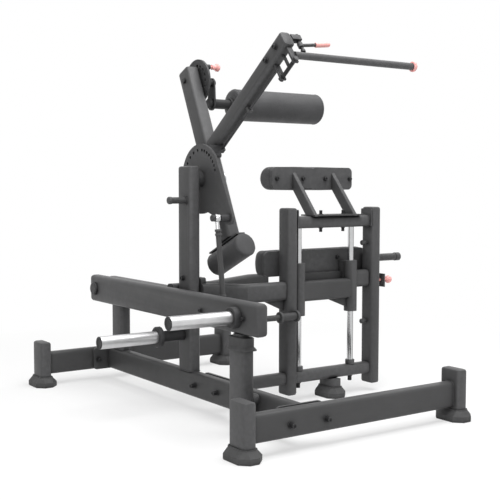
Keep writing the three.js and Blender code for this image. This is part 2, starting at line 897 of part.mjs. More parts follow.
// Lever pivot pin: through the lever into the top beam, with a spacer and a cap
const leverFace = leverX - leverThickness / 2;
add(frame, "lever_pivot_pin", turnedX([
  [0, leverFace - runningGap - leverCapThickness],
  [leverBossRadius - endEdge, leverFace - runningGap - leverCapThickness],
  [leverBossRadius, leverFace - runningGap - leverCapThickness + endEdge],
  [leverBossRadius, leverFace - runningGap],
  [leverPinRadius, leverFace - runningGap], [leverPinRadius, leverX + leverThickness / 2 + runningGap],
  [leverBossRadius, leverX + leverThickness / 2 + runningGap], [leverBossRadius, columnFace],
  [0, columnFace],
]), blackZinc(), 0, leverPivotY, leverZ);

// Weight lever
const lever = group(machine, 0, leverPivotY, leverZ);
const leverTube = moved(
  tubeY(leverHeight, leverThickness, leverFrontY - leverPivotY, leverRearY - leverPivotY,
    { low: true, high: true, dome: leverDomeHeight, inset: leverDomeInset }),
  leverX, 0, 0,
);
const leverRight = leverX + leverThickness / 2;
const rodBoss = moved(
  turnedX(
    rodProfile(spacerRadius - capEdge, leverRight - bite, rodX - rodEyeWidth / 2 - runningGap * 2), smallSides,
  ),
  0, rodLowerY - leverPivotY, 0,
);
const leverBore = turnedX(
  rodProfile(leverPinRadius + runningGap, leverFace - overrun, leverRight + overrun),
);
const faceBolts = [leverFaceBoltY, rodLowerY].map((y) => moved(
  turnedX(boltProfile(leverFace, -boltHeadLength / 2, smallBoltShare), smallSides),
  0, y - leverPivotY, 0,
));
add(lever, "weight_lever", geometryOf(cut(join(leverTube, rodBoss, ...faceBolts), leverBore)), paint());
const hornTip = -hornCollarLength - hornSleeveLength;
add(lever, "weight_horn", turnedX([
  [0, hornTip + hornRecess], [sleeveRadius - sleeveWall - gap, hornTip + hornRecess],
  [sleeveRadius - sleeveWall - gap, -hornCollarLength - gap],
  [hornCollarRadius - capEdge, -hornCollarLength - gap],
  [hornCollarRadius, capEdge - hornCollarLength], [hornCollarRadius, 0], [0, 0],
]), paint(), leverFace, hornY - leverPivotY, 0);
add(lever, "weight_sleeve", sleeveShell(hornTip, -hornCollarLength - 2 * gap),
  chrome(), leverFace, hornY - leverPivotY, 0);

// Main shaft, fixed in the column
const armRight = armX + armWidth;
add(frame, "main_shaft", turnedX([
  [0, columnRight], [shaftRadius, columnRight], [shaftRadius, armRight + runningGap],
  [hubRadius - endEdge, armRight + runningGap], [hubRadius - endEdge, armRight + runningGap + thinPlate],
  [shaftRadius, armRight + runningGap + plateThickness], [0, armRight + runningGap + plateThickness],
]), steel(), 0, pivotY, pivotZ);

// Selector plate: a rim of holes round the pivot, and a lower corner that drives the rod
const crank = group(machine, 0, pivotY, pivotZ);
const crankPlateOuter = crankPlateX + plateThickness;
const crankDisc = plateX(
  hullShape([[0, 0, plateRimRadius, roundSides * 3]]), crankPlateX, crankPlateOuter,
);

// The neck leaves the rim on a tangent at the front, and meets it in an inner corner below
const cornerReach = Math.hypot(crankPinOut, crankPinDown);
const frontTurn = Math.PI + Math.atan2(crankPinDown, crankPinOut)
  - Math.acos((plateRimRadius - crankCornerRadius) / cornerReach);
const frontReach = plateRimRadius - crankCornerRadius;
const crankNeck = plateX(hullShape([
  [0, 0, crankNeckRadius, roundSides * 2],
  [frontReach * Math.cos(frontTurn), frontReach * Math.sin(frontTurn), crankCornerRadius, roundSides * 2],
  [-crankPinOut, -crankPinDown, crankCornerRadius, roundSides * 2],
]), crankPlateX, crankPlateOuter);
const plateHole = (y, z, radius) => moved(turnedX(
  rodProfile(radius / Math.cos(Math.PI / smallSides), crankPlateX - overrun, crankPlateOuter + overrun),
  smallSides,
), 0, y, z);
const holeAngles = [];
for (let i = 0; i < wideHoles; i += 1) holeAngles.push(wideHoleAngle + i * wideHolePitch);
for (let i = 0; i < fineHoles; i += 1) holeAngles.push(fineHoleAngle + i * fineHolePitch);
const selectorHoles = holeAngles.map((angle) => {
  const turn = THREE.MathUtils.degToRad(angle);
  return plateHole(-selectorRadius * Math.cos(turn), selectorRadius * Math.sin(turn), selectorHoleRadius);
});
const crankHub = turnedX(rodProfile(hubRadius, columnRight + runningGap, crankPlateX + bite));
const shaftBore = (from, to) => turnedX(rodProfile(shaftRadius + runningGap, from, to));
add(crank, "crank_plate", geometryOf(cut(
  join(crankDisc, crankNeck, crankHub),
  ...selectorHoles,
  plateHole(-crankPinOut, -crankPinDown, crankPinRadius + gap),
  shaftBore(columnRight - overrun, armX),
)), paint());
const eyeLeft = rodX - rodEyeWidth / 2;
const eyeRight = rodX + rodEyeWidth / 2;
add(crank, "crank_pin", turnedX([
  [0, eyeLeft - crankPinHead], [rodNutRadius - pinTaper, eyeLeft - crankPinHead],
  [rodNutRadius, eyeLeft - crankPinHead + pinTaper], [rodNutRadius, eyeLeft - runningGap],
  [crankPinRadius, eyeLeft - runningGap], [crankPinRadius, eyeRight + runningGap],
  [crankBossRadius, eyeRight + runningGap], [crankBossRadius, crankPlateX - gap],
  [crankPinRadius, crankPlateX - gap], [crankPinRadius, crankPlateOuter + gap],
  [rodNutRadius, crankPlateOuter + gap], [rodNutRadius, crankPlateOuter + rodNutLength],
  [0, crankPlateOuter + rodNutLength],
]), blackZinc(), 0, -crankPinOut, -crankPinDown);

// Connecting rod: a chrome rod end above, lock nuts and a steel tube, and an eye at the lever
const rodRun = new THREE.Vector2(
  rodLowerY - (pivotY - crankPinOut), leverZ - (pivotZ - crankPinDown),
);
const rodLean = THREE.MathUtils.radToDeg(Math.atan2(rodRun.x, -rodRun.y));
const rod = group(crank, rodX, -crankPinOut, -crankPinDown, rodLean);
const rodLength = rodRun.length();
const eyeWidthHalf = rodEyeWidth / 2;
add(rod, "rod_end", geometryOf(cut(
  join(
    turnedX([
      [0, -eyeWidthHalf], [rodEyeRadius - endEdge, -eyeWidthHalf], [rodEyeRadius, -eyeWidthHalf / 2],
      [rodEyeRadius, eyeWidthHalf / 2], [rodEyeRadius - endEdge, eyeWidthHalf], [0, eyeWidthHalf],
    ]),
    turned(rodProfile(rodShankRadius, gap - rodTubeStart, -rodEyeRadius / 2), smallSides),
  ),
  turnedX(rodProfile(crankPinRadius + runningGap, -rodEyeWidth, rodEyeWidth)),
)), chrome());
const nutBand = (from) => [
  [rodTubeRadius, -from - rodNutLength], [rodNutRadius, -from - rodNutLength],
  [rodNutRadius, -from], [rodTubeRadius, -from],
];
add(rod, "connecting_rod", geometryOf(join(
  turned([
    [0, -rodLength], [rodShankRadius, -rodLength], [rodShankRadius, -rodTubeEnd],
    ...nutBand(rodTubeEnd - rodNutLength), ...nutBand(rodTubeStart + 2 * rodNutLength),
    [rodTubeRadius, -rodTubeStart - rodNutLength], [rodNutRadius, -rodTubeStart - rodNutLength],
    [rodNutRadius, -rodTubeStart], [0, -rodTubeStart],
  ], smallSides),
  moved(turnedX([
    [0, -eyeWidthHalf], [rodEyeRadius, -eyeWidthHalf], [rodEyeRadius, eyeWidthHalf],
    [rodNutRadius, eyeWidthHalf], [rodNutRadius, eyeWidthHalf + rodNutLength],
    [0, eyeWidthHalf + rodNutLength],
  ], smallSides), 0, 0, -rodLength),
)), paint());

// Kick arm: a leaning tube on its own hub, with the pad plate welded across its foot
const arm = group(crank, 0, 0, 0, -armTilt);
const armMiddle = armX + armWidth / 2;
const armTube = moved(
  tube(armWidth, armDepth, -armBottom, armTop, { radius: armRadius, high: true }), armMiddle, 0, 0,
);
const padPlateTop = -kickPadDrop + kickPadRadius + gap + kickPlateThickness;
const padPlate = block(
  armMiddle - kickPlateWidth / 2, armMiddle + kickPlateWidth / 2,
  -kickPadFront + kickPlateWidth / 2, kickPadBack, padPlateTop - kickPlateThickness, padPlateTop,
);
const armFoot = block(
  armX + armRadius, armRight - armRadius, -armDepth / 2 + armRadius, armDepth / 2 - armRadius,
  padPlateTop - bite, bite - armBottom,
);
const armHub = turnedX(rodProfile(hubRadius, crankPlateOuter + runningGap * 2, armX + bite));
const rollerBore = moved(
  turnedX(rodProfile(rollerPivotRadius + gap, armX - overrun, armRight + overrun)), 0, 0, rollerPivotUp,
);
add(arm, "kick_arm", geometryOf(cut(
  join(armTube, padPlate, armFoot, armHub),
  shaftBore(crankPlateX, armRight + overrun),
  rollerBore,
)), paint());

// Kick pad: a firm padded roll bolted under the plate
const padRoll = (length, radius, edge) => [
  [0, 0], [radius - edge, 0], [radius - edge / 4, edge / 3], [radius, edge],
  [radius, length - edge], [radius - edge / 4, length - edge / 3], [radius - edge, length], [0, length],
];
add(arm, "kick_pad", turnedY(padRoll(kickPadFront + kickPadBack, kickPadRadius, kickPadEdge), roundSides + 8),
  vinyl(), armMiddle, -kickPadFront, -kickPadDrop);

// Handle arm: butts the front of the kick arm and rises towards the user
const handle = group(arm, 0, 0, 0, handleTurn);
const handleBottom = handleRise - handleDepth / 2;
const handleMiddle = armX + handleInset + handleWidth / 2;
const armFaceCutter = block(
  armX - overrun, armRight + overrun, -armDepth / 2 - gap, armTop, -armTop, armTop,
).rotateX(THREE.MathUtils.degToRad(-handleTurn));
const clip = cut(
  solid(block(
    releaseRodX - rodClipWidth / 2, releaseRodX + rodClipWidth / 2,
    releaseRodRise - rodClipWidth / 2, handleBottom + bite, rodClipAt, rodClipAt + rodClipLength,
  )),
  moved(turned(rodProfile(releaseRodRadius + runningGap, rodClipAt - overrun, rodClipAt + 3 * overrun)),
    releaseRodX, releaseRodRise, 0),
);
const handleTube = moved(
  tube(handleWidth, handleDepth, 0, handleReach, { high: true }), handleMiddle, handleRise, 0,
);
const handleBolts = [0, 1].map((place) => moved(
  turnedX(boltProfile(armX + handleInset, -boltHeadLength / 2), smallSides),
  0, handleRise, handleReach - handleBoltInset - place * handleBoltSpacing,
));
add(handle, "handle_arm", geometryOf(
  cut(join(handleTube, ...handleBolts), armFaceCutter).add(clip),
), paint());

// Selector housing: hangs from the handle arm and guides the selector pin over the plate's holes
const pinTurn = THREE.MathUtils.degToRad(selectorPinAngle - (90 - handleTurn + armTilt));
const pinAt = selectorRadius * Math.cos(pinTurn);
const pinRise = selectorRadius * Math.sin(pinTurn);
const housingStart = crankPlateOuter + runningGap * 4;
const housingOutline = hullShape([
  [pinRise, pinAt, housingRadius],
  [handleBottom - gap - housingCorner, pinAt - housingRadius + housingCorner, housingCorner, smallSides],
  [handleBottom - gap - housingCorner, pinAt + housingRadius - housingCorner, housingCorner, smallSides],
]);
const pinBore = moved(
  turnedX(rodProfile(pinRadius + runningGap, crankPlateX, armRight), smallSides), 0, pinRise, pinAt,
);
const releaseWell = moved(
  turned(rodProfile(releaseRodRadius + runningGap, -releaseBore, releaseBore), smallSides),
  releaseRodX, releaseRodRise, pinAt + housingRadius,
);
const saddle = block(
  housingStart, housingStart + saddleLength,
  releaseRodRise - releaseRodRadius - saddleWall, handleBottom - gap,
  pinAt - housingRadius, pinAt + housingRadius,
);
add(handle, "selector_housing", geometryOf(cut(
  join(plateX(housingOutline, housingStart, housingStart + housingLength), saddle),
  pinBore,
  releaseWell,
)), blackZinc());
const selectorPin = group(handle, crankPlateOuter + runningGap, pinRise, pinAt);
add(selectorPin, "selector_pin", turnedX([
  [0, 0], [pinRadius - pinTaper, 0], [pinRadius, pinTaper],
  [pinRadius, housingLength + selectorPinTail], [0, housingLength + selectorPinTail],
], smallSides), steel());

// Release rod, clipped along the underside of the handle arm
add(handle, "release_rod", turned(rodProfile(releaseRodRadius, releaseRodStart, releaseRodEnd), smallSides),
  blackZinc(), releaseRodX, releaseRodRise, 0);

// Bracket at the arm's end: two drop plates with a strut, a short link, and an ear for the release lever
const dropPlate = (at, thickness, width, bottom) => block(
  bracketX - width / 2, bracketX + width / 2, bottom, handleBottom - gap, at, at + thickness,
);
const strut = moved(turned([
  [0, bracketLower - rodNutLength], [strutNutRadius, bracketLower - rodNutLength],
  [strutNutRadius, bracketLower + bite], [strutRadius, bracketLower + bite],
  [strutRadius, bracketUpper + bracketThickness - bite],
  [strutNutRadius, bracketUpper + bracketThickness - bite],
  [strutNutRadius, bracketUpper + bracketThickness + rodNutLength],
  [0, bracketUpper + bracketThickness + rodNutLength],
], smallSides), bracketX, strutRise, 0);
const plateBottom = strutRise - strutNutRadius;
const earX = handleMiddle + handleWidth / 2 + gap;
const ear = plateX(
  new THREE.Shape(roundedRing(bracketWidth, bracketWidth, fineEdge).map(([y, z]) => new THREE.Vector2(y, z))),
  earX, releaseX + releaseHubRadius,
).translate(0, releaseArmRise, releaseAt);
const releasePin = moved(turnedY([
  [0, handleBarRise + handleBarRadius + gap],
  [releasePinRadius + capEdge, handleBarRise + handleBarRadius + gap],
  [releasePinRadius + capEdge, handleBarRise + handleBarRadius + plateThickness],
  [releasePinRadius, handleBarRise + handleBarRadius + plateThickness],
  [releasePinRadius, releaseArmRise], [0, releaseArmRise],
], smallSides), releaseX, 0, releaseAt);
const earHead = moved(turnedY([
  [0, releaseArmRise], [releaseHubRadius, releaseArmRise],
  [releaseHubRadius, releaseArmRise + bracketWidth / 2 + endEdge],
  [0, releaseArmRise + bracketWidth / 2 + endEdge],
], smallSides), releaseX, 0, releaseAt);
add(handle, "release_bracket", geometryOf(join(ear, earHead, releasePin)), blackZinc());
add(handle, "handle_bracket", geometryOf(join(
  dropPlate(bracketLower, bracketThickness, bracketWidth, plateBottom),
  dropPlate(bracketUpper, bracketThickness, bracketWidth, plateBottom),
  dropPlate(linkAt, thinPlate, linkWidth, strutRise),
  strut,
)), blackZinc());

// Handle bar with its end cap
const barRoot = bracketX + bracketWidth / 2 + gap;
add(handle, "handle_bar", turnedX(rodProfile(handleBarRadius, barRoot, handleBarEnd)),
  paint(), 0, handleBarRise, handleBarAt);
const capStart = handleBarEnd + gap;
const capEnd = capStart + handleCapLength;
add(handle, "handle_bar_cap", turnedX([
  [0, capStart], [handleCapRadius - handleCapEdge / 2, capStart],
  [handleCapRadius, capStart + handleCapEdge / 2], [handleCapRadius, capEnd - handleCapEdge],
  [handleCapRadius - handleCapEdge / 3, capEnd - handleCapEdge / 3],
  [handleCapRadius - handleCapEdge, capEnd], [0, capEnd],
]), pink(), 0, handleBarRise, handleBarAt);

// Release lever on its own pin, with a moulded grip
const release = group(handle, releaseX, releaseLeverRise, releaseAt);
release.rotation.y = THREE.MathUtils.degToRad(-releaseTilt);
add(release, "release_lever", geometryOf(cut(
  join(
    turnedY(rodProfile(releaseHubRadius, -releaseHubLength / 2, releaseHubLength / 2), smallSides),
    turnedX(rodProfile(releaseTubeRadius, 0, releaseTubeLength), smallSides),
  ),
  turnedY(rodProfile(releasePinRadius + runningGap, -releaseHubLength, releaseHubLength), smallSides),
)), paint());
add(release, "release_grip", turnedX([
  [0, releaseTubeLength + gap], [releaseGripRadius, releaseTubeLength + gap],
  [releaseGripRadius, releaseTubeLength + releaseGripLength - gripTaper],
  [releaseGripRadius - endEdge, releaseTubeLength + releaseGripLength],
  [0, releaseTubeLength + releaseGripLength],
], smallSides + 4), pink());

// Roller selector plate on the outer face of the kick arm, and the pin that the crank turns on
const rollerOutline = hullShape([[0, 0, rollerPlateRadius, roundSides * 2]]);
for (let i = 0; i < rollerHoles; i += 1) {
  const turn = THREE.MathUtils.degToRad(rollerHoleAngle + armTilt + i * rollerHolePitch);
  rollerOutline.holes.push(
    holePath(rollerHoleRadius * Math.cos(turn), rollerHoleRadius * Math.sin(turn), selectorHoleRadius),
  );
}
rollerOutline.holes.push(holePath(0, 0, rollerPivotRadius + gap));
add(arm, "roller_selector_plate", plateX(rollerOutline, armRight + gap, armRight + gap + rollerPlateThickness),
  paint(), 0, 0, rollerPivotUp);
const crankStart = armRight + gap + rollerPlateThickness + runningGap;
const crankOuter = crankStart + rollerHubLength + rollerCrankThickness;
add(arm, "roller_pivot_pin", turnedX([
  [0, armX - plateThickness], [rollerPivotRadius - fineEdge, armX - plateThickness],
  [rollerPivotRadius, armX - plateThickness + fineEdge], [rollerPivotRadius, crankOuter + runningGap],
  [rollerHubRadius - fineEdge, crankOuter + runningGap],
  [rollerHubRadius - fineEdge, crankOuter + thinPlate],
  [rollerPivotRadius, crankOuter + plateThickness], [0, crankOuter + plateThickness],
]), blackZinc(), 0, 0, rollerPivotUp);

// Roller crank: a hub, a thin plate with the pin barrel above and the axle tube welded below
const rollerCrank = group(arm, 0, 0, rollerPivotUp, armTilt + rollerCrankTurn);
const axlePlate = plateX(hullShape([
  [0, 0, rollerHubRadius + rollerPlateFlange / 2],
  [0, -rollerOffset, rollerAxleRadius + rollerPlateFlange],
]), crankStart + rollerHubLength, crankOuter);
const pinLimb = plateX(hullShape([
  [0, rollerHoleRadius, barrelRadius + rollerPlateFlange / 2],
  [0, 0, rollerHubRadius + rollerPlateFlange / 2],
]), crankStart, crankStart + rollerCrankThickness);
const axle = moved(turnedX([
  [0, crankOuter - rollerAxleTail], [rollerAxleRadius, crankOuter - rollerAxleTail],
  [rollerAxleRadius, rollerStart - gap - bushFlangeLength],
  [bushFlangeRadius, rollerStart - gap - bushFlangeLength], [bushFlangeRadius, rollerStart - gap],
  [rollerAxleRadius, rollerStart - gap], [rollerAxleRadius, rollerEnd - rollerBoreEnd - runningGap * 2],
  [0, rollerEnd - rollerBoreEnd - runningGap * 2],
]), 0, 0, -rollerOffset);
const barrelStop = crankStart + barrelLength;
add(rollerCrank, "roller_crank", geometryOf(cut(
  join(
    axlePlate,
    pinLimb,
    turnedX(rodProfile(rollerHubRadius, crankStart, crankStart + rollerHubLength + bite)),
    moved(turnedX(rodProfile(barrelRadius, crankStart + bite, barrelStop), smallSides),
      0, 0, rollerHoleRadius),
    axle,
  ),
  turnedX(rodProfile(rollerPivotRadius + runningGap, armRight, crankOuter + overrun)),
  moved(turnedX(rodProfile(pinRadius + runningGap, armRight, barrelStop + overrun), smallSides),
    0, 0, rollerHoleRadius),
)), paint());
const knobProfile = (nose, shoulder) => [
  [0, nose], [pinRadius - pinTaper, nose], [pinRadius, nose + pinTaper], [pinRadius, shoulder],
  [knobStemRadius, shoulder], [knobStemRadius, shoulder + knobLength / 2],
  [knobRadius, shoulder + knobLength * knobDiscShare],
  [knobRadius, shoulder + knobLength - knobEdge],
  [knobRadius - knobEdge, shoulder + knobLength], [0, shoulder + knobLength],
];
const rollerPin = group(rollerCrank, 0, 0, rollerHoleRadius);
add(rollerPin, "roller_pin",
  turnedX(knobProfile(crankStart, barrelStop + plateThickness), smallSides + 4), pink());

// Upper roller: foam on the axle, closed at its outer end
const spin = group(rollerCrank, 0, 0, -rollerOffset);
add(spin, "upper_roller", turnedX([
  [rollerAxleRadius + rollerAxleGap, rollerStart], [rollerRadius - rollerEdge, rollerStart],
  [rollerRadius - rollerEdge / 4, rollerStart + rollerEdge / 3], [rollerRadius, rollerStart + rollerEdge],
  [rollerRadius, rollerEnd - rollerEdge], [rollerRadius - rollerEdge / 4, rollerEnd - rollerEdge / 3],
  [rollerRadius - rollerEdge, rollerEnd], [0, rollerEnd],
  [0, rollerEnd - rollerBoreEnd], [rollerAxleRadius + rollerAxleGap, rollerEnd - rollerBoreEnd],
  [rollerAxleRadius + rollerAxleGap, rollerStart],
], roundSides + 12), vinyl());

// Sliding carriage: two sleeves, a cross tube, and a back bar that wraps behind the right upright
const carriage = group(machine, 0, 0, 0);
const sleeveParts = [guideLeftX, guideRightX].flatMap((x) => [
  moved(turned(rodProfile(sleeveOuter, sleeveBottom, sleeveTop), roundSides + 4), x, standY, 0),
  block(x - padLugWidth / 2, x + padLugWidth / 2, standY, backBarY + bite, backBarBottom, padLugTop),
  block(x - padLugWidth / 2, x + padLugWidth / 2, backBarY, backBarY + backBarThickness,
    backBarTop - bite, padLugTop),
]);
const carriageTube = moved(
  tubeX(crossTube, carriageTubeHeight, guideLeftX, guideRightX),
  0, standY, carriageTubeBottom + carriageTubeHeight / 2,
);
const backBar = block(
  guideLeftX - padLugWidth / 2, backBarEnd, backBarY, backBarY + backBarThickness,
  backBarBottom, backBarTop,
);
const handlePost = block(
  uprightArmX, backBarEnd, backBarY, backBarY + backBarThickness, backBarBottom, uprightArmTop,
);
const pinPlateOuter = pinPlateX + pinPlateThickness;
const sideArm = block(
  backBarEnd - bite, pinPlateOuter, backBarY, backBarY + backBarThickness, backBarBottom, pinPlateTop,
);
const pinPlate = block(
  pinPlateX, pinPlateOuter, pinPlateY, backBarY + bite, backBarBottom, pinPlateTop,
);
const pinNut = moved(
  turnedX(rodProfile(barrelRadius, pinPlateOuter - bite, pinPlateOuter + thinPlate), hexSides),
  0, standY, heightPinZ,
);
const tab = moved(
  tubeX(tabThickness, tabHeight, guideRightX + sleeveOuter / 2, tabEnd),
  0, standY, tabBottom + tabHeight / 2,
);
const carriageGusset = gusset([
  [guideRightX - sleeveOuter / 2, carriageTubeBottom + bite],
  [guideRightX - sleeveOuter / 2, carriageTubeBottom - gussetDrop],
  [guideRightX - sleeveOuter - gussetLength, carriageTubeBottom + bite],
], standY, thinPlate);
add(carriage, "carriage_frame", geometryOf(cut(
  join(carriageTube, ...sleeveParts, backBar, handlePost, sideArm, pinPlate, pinNut, tab, carriageGusset),
  ...[guideLeftX, guideRightX].map((x) => moved(
    turned(rodProfile(guideRadius + runningGap, sleeveBottom - overrun, sleeveTop + overrun)),
    x, standY, 0,
  )),
  moved(turnedX(rodProfile(pinRadius + runningGap, uprightOuter, ballX), smallSides), 0, standY, heightPinZ),
)), paint());
add(carriage, "carriage_handle", turnedX([
  [0, 0], [carriageHandleRadius + capEdge, 0], [carriageHandleRadius + capEdge, pegFlange],
  [carriageHandleRadius, pegFlange], [carriageHandleRadius, carriageHandleLength - 2 * pegCapLength],
  [carriageHandleRadius + fineEdge, carriageHandleLength - 2 * pegCapLength],
  [carriageHandleRadius + fineEdge, carriageHandleLength - endEdge],
  [carriageHandleRadius - endEdge, carriageHandleLength], [0, carriageHandleLength],
]), paint(), backBarEnd, backBarY + backBarThickness / 2, carriageHandleZ);

// Height pin with a ball knob, through the pin plate towards the upright's holes
const heightPin = group(carriage, 0, standY, heightPinZ);
const ballPoints = [];
for (let i = 1; i <= domeSteps * 4; i += 1) {
  const angle = (i / (domeSteps * 4)) * Math.PI;
  ballPoints.push([ballRadius * Math.sin(angle), ballX - ballRadius * Math.cos(angle)]);
}
const pinTip = uprightOuter + runningGap;
add(heightPin, "height_pin", turnedX([
  [0, pinTip], [pinRadius - fineEdge, pinTip], [pinRadius, pinTip + fineEdge],
  [pinRadius, ballX - ballRadius * ballSeatShare],
  ...ballPoints.slice(0, -1), [0, ballX + ballRadius],
], smallSides + 4), pink());

// Pad boards: plywood plates with a shallow waist, drawn on XZ and raised along Y
function boardShape(length, height, waist) {
  const shape = new THREE.Shape();
  const c = boardCorner;
  const middle = length / 2 + waistShift;
  shape.moveTo(0, c);
  shape.absarc(c, c, c, Math.PI, Math.PI * 1.5, false);
  if (waist) {
    shape.lineTo(middle - waistHalfLength - waistDepth * 2, 0);
    shape.lineTo(middle - waistHalfLength, waistDepth);
    shape.lineTo(middle + waistHalfLength, waistDepth);
    shape.lineTo(middle + waistHalfLength + waistDepth * 2, 0);
  }
  shape.absarc(length - c, c, c, -Math.PI / 2, 0, false);
  shape.absarc(length - c, height - c, c, 0, Math.PI / 2, false);
  if (waist) {
    shape.lineTo(middle + waistHalfLength + waistDepth * 2, height);
    shape.lineTo(middle + waistHalfLength, height - waistDepth);
    shape.lineTo(middle - waistHalfLength, height - waistDepth);
    shape.lineTo(middle - waistHalfLength - waistDepth * 2, height);
  }
  shape.absarc(c, height - c, c, Math.PI / 2, Math.PI, false);
  return shape;
}
function padBoard(length, height, waist) {
  const settings = { depth: boardThickness, bevelEnabled: false, curveSegments: cornerSteps };
  return new THREE.ExtrudeGeometry(boardShape(length, height, waist), settings)
    .rotateX(Math.PI / 2)
    .translate(0, boardThickness, 0);
}

// A pad's foam along X: a round-edged section with drawn-in ends, crowned across its face and
// along its length, with sides that pull in between the ends
function padFoam(length, height, thickness, radius, ends) {
  const section = (shrink, swell) => {
    const h = height / 2 - shrink - padDrawIn * swell;
    const deep = thickness - shrink - padCrown * (1 - swell);
    const r = Math.min(radius, h - gap);
    const points = [[0, -h], [(deep - r) / 2, -h], [deep - r, -h]];
    for (let i = 1; i < ends; i += 1) {
      const angle = -Math.PI / 2 + (i / ends) * (Math.PI / 2);
      points.push([deep - r + r * Math.cos(angle), -h + r + r * Math.sin(angle)]);
    }
    for (let i = 0; i <= ends; i += 1) {
      const across = (i / ends) * 2 - 1;
      points.push([deep + (padCrown / 2) * (1 - across * across), across * (h - r)]);
    }
    for (let i = 1; i < ends; i += 1) {
      const angle = (i / ends) * (Math.PI / 2);
      points.push([deep - r + r * Math.cos(angle), h - r + r * Math.sin(angle)]);
    }
    points.push([deep - r, h], [(deep - r) / 2, h], [0, h]);
    return points;
  };
  const draw = hipFoamRadius / 2;
  const rings = [[0, draw, 0], [draw / 3, draw / 3, 0]];
  for (let i = 0; i <= crownSteps; i += 1) {
    const along = i / crownSteps;
    rings.push([draw + along * (length - 2 * draw), 0, Math.sin(along * Math.PI)]);
  }
  rings.push([length - draw / 3, draw / 3, 0], [length, draw, 0]);
  return skin(rings.map(([at, shrink, swell]) => section(shrink, swell)
    .map(([y, z]) => new THREE.Vector3(at, y, z))));
}

// Hip pad on the carriage
const hipBoardY = backBarY + backBarThickness + gap;
add(carriage, "hip_pad_board", padBoard(hipBoardLength, hipBoardHeight, false),
  board(), hipBoardX, hipBoardY, hipBoardBottom);
add(carriage, "hip_pad_cushion",
  padFoam(hipBoardLength, hipBoardHeight + 2 * foamProud, hipFoamThickness, hipFoamRadius, cornerSteps + 1),
  vinyl(), hipBoardX, hipBoardY + boardThickness + gap, hipBoardBottom + hipBoardHeight / 2);

// Chest pad: two leaning arms on a base plate over the top tube carry the board
const topTubeTop = topTubeBottom + crossTube;
const chestPlate = block(
  chestArmLeftX, chestArmLeftX + chestPlateLength, chestPlateY, chestPlateY + chestPlateDepth,
  topTubeTop, topTubeTop + thinPlate,
);
const chestMiddle = chestBoardBottom + chestBoardHeight / 2;
const chestArms = [chestArmLeftX, chestArmRightX].map((x) => {
  const bar = tube(chestArmWidth, chestArmDepth, -chestArmLength, chestArmLength / 2,
    { radius: tubeRadius / 3 }).rotateX(THREE.MathUtils.degToRad(chestArmAngle - 90));
  return moved(bar, x + chestArmWidth / 2, chestBoardY, chestBoardBottom + chestArmRise);
});
const chestHeads = topBolts.map((x) => moved(
  turned(boltProfile(topTubeTop + thinPlate, boltHeadLength * smallBoltShare, smallBoltShare), smallSides),
  x, standY, 0,
));
const chestTrim = (y0, y1, z0, z1) => block(
  chestArmLeftX - overrun, chestArmRightX + chestArmWidth + overrun, y0, y1, z0, z1,
);
add(frame, "chest_pad_frame", geometryOf(cut(
  join(chestPlate, ...chestArms, ...chestHeads),
  chestTrim(chestBoardY - chestArmLength, chestBoardY, topTubeTop - chestArmLength, topTubeTop),
  chestTrim(chestBoardY, chestBoardY + chestArmLength, topTubeTop, chestMiddle + chestArmLength),
)), paint());
add(frame, "chest_pad_board", padBoard(chestBoardLength, chestBoardHeight, true),
  board(), chestBoardX, chestBoardY + gap, chestBoardBottom);
const chestFoamHeight = chestBoardHeight + foamProud;
add(frame, "chest_pad_cushion",
  padFoam(chestBoardLength, chestFoamHeight, chestFoamThickness, chestFoamHeight / 2, cornerSteps + 3),
  vinyl(), chestBoardX, chestBoardY + boardThickness + 2 * gap, chestMiddle);

// The origin goes under the middle of the footprint
const machineBox = new THREE.Box3().setFromObject(machine, true);
const middle = machineBox.getCenter(new THREE.Vector3());
machine.position.set(-middle.x, -middle.y, -machineBox.min.z);

const part = new THREE.Group();
part.add(machine);

export default part;
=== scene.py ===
import json
import math

import bmesh
import bpy
import numpy as np
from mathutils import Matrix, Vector
from mathutils.bvhtree import BVHTree


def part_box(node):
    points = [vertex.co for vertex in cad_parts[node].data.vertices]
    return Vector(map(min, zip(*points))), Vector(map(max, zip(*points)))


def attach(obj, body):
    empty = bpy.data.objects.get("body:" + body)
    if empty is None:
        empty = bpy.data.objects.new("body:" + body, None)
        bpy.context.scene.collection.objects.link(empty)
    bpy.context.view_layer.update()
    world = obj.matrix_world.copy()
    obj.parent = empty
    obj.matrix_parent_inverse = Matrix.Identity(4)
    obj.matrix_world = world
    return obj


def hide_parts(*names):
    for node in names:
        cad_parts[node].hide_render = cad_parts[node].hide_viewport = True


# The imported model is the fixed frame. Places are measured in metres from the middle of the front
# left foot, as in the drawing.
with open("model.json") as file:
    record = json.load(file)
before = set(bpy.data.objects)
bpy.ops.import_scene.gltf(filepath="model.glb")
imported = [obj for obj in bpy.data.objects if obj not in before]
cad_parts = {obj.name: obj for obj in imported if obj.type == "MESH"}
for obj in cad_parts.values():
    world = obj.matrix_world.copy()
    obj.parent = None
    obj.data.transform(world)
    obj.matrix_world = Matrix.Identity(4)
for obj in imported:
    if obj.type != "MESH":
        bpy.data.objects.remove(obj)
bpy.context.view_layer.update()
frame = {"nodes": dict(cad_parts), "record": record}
foot_low, foot_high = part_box("foot_front_left")
post = Vector(((foot_low.x + foot_high.x) / 2, (foot_low.y + foot_high.y) / 2, 0))

# Camera: a long lens a little above the middle of the machine, in front of it and to its left,
# looking slightly down.
look_down, roll, look_right = 3.938, 0.064, 34.736
camera_data = bpy.data.cameras.new("camera")
camera_data.lens = 68.98
camera_data.sensor_width = 36
camera_data.clip_end = 50
camera = bpy.data.objects.new("camera", camera_data)
camera.location = post + Vector((-1.749, -2.564, 0.9085))
camera.rotation_euler = (
    math.radians(90 - look_down), math.radians(-roll), math.radians(-look_right),
)
bpy.context.collection.objects.link(camera)
bpy.context.scene.camera = camera
bpy.context.scene.view_settings.view_transform = "Standard"


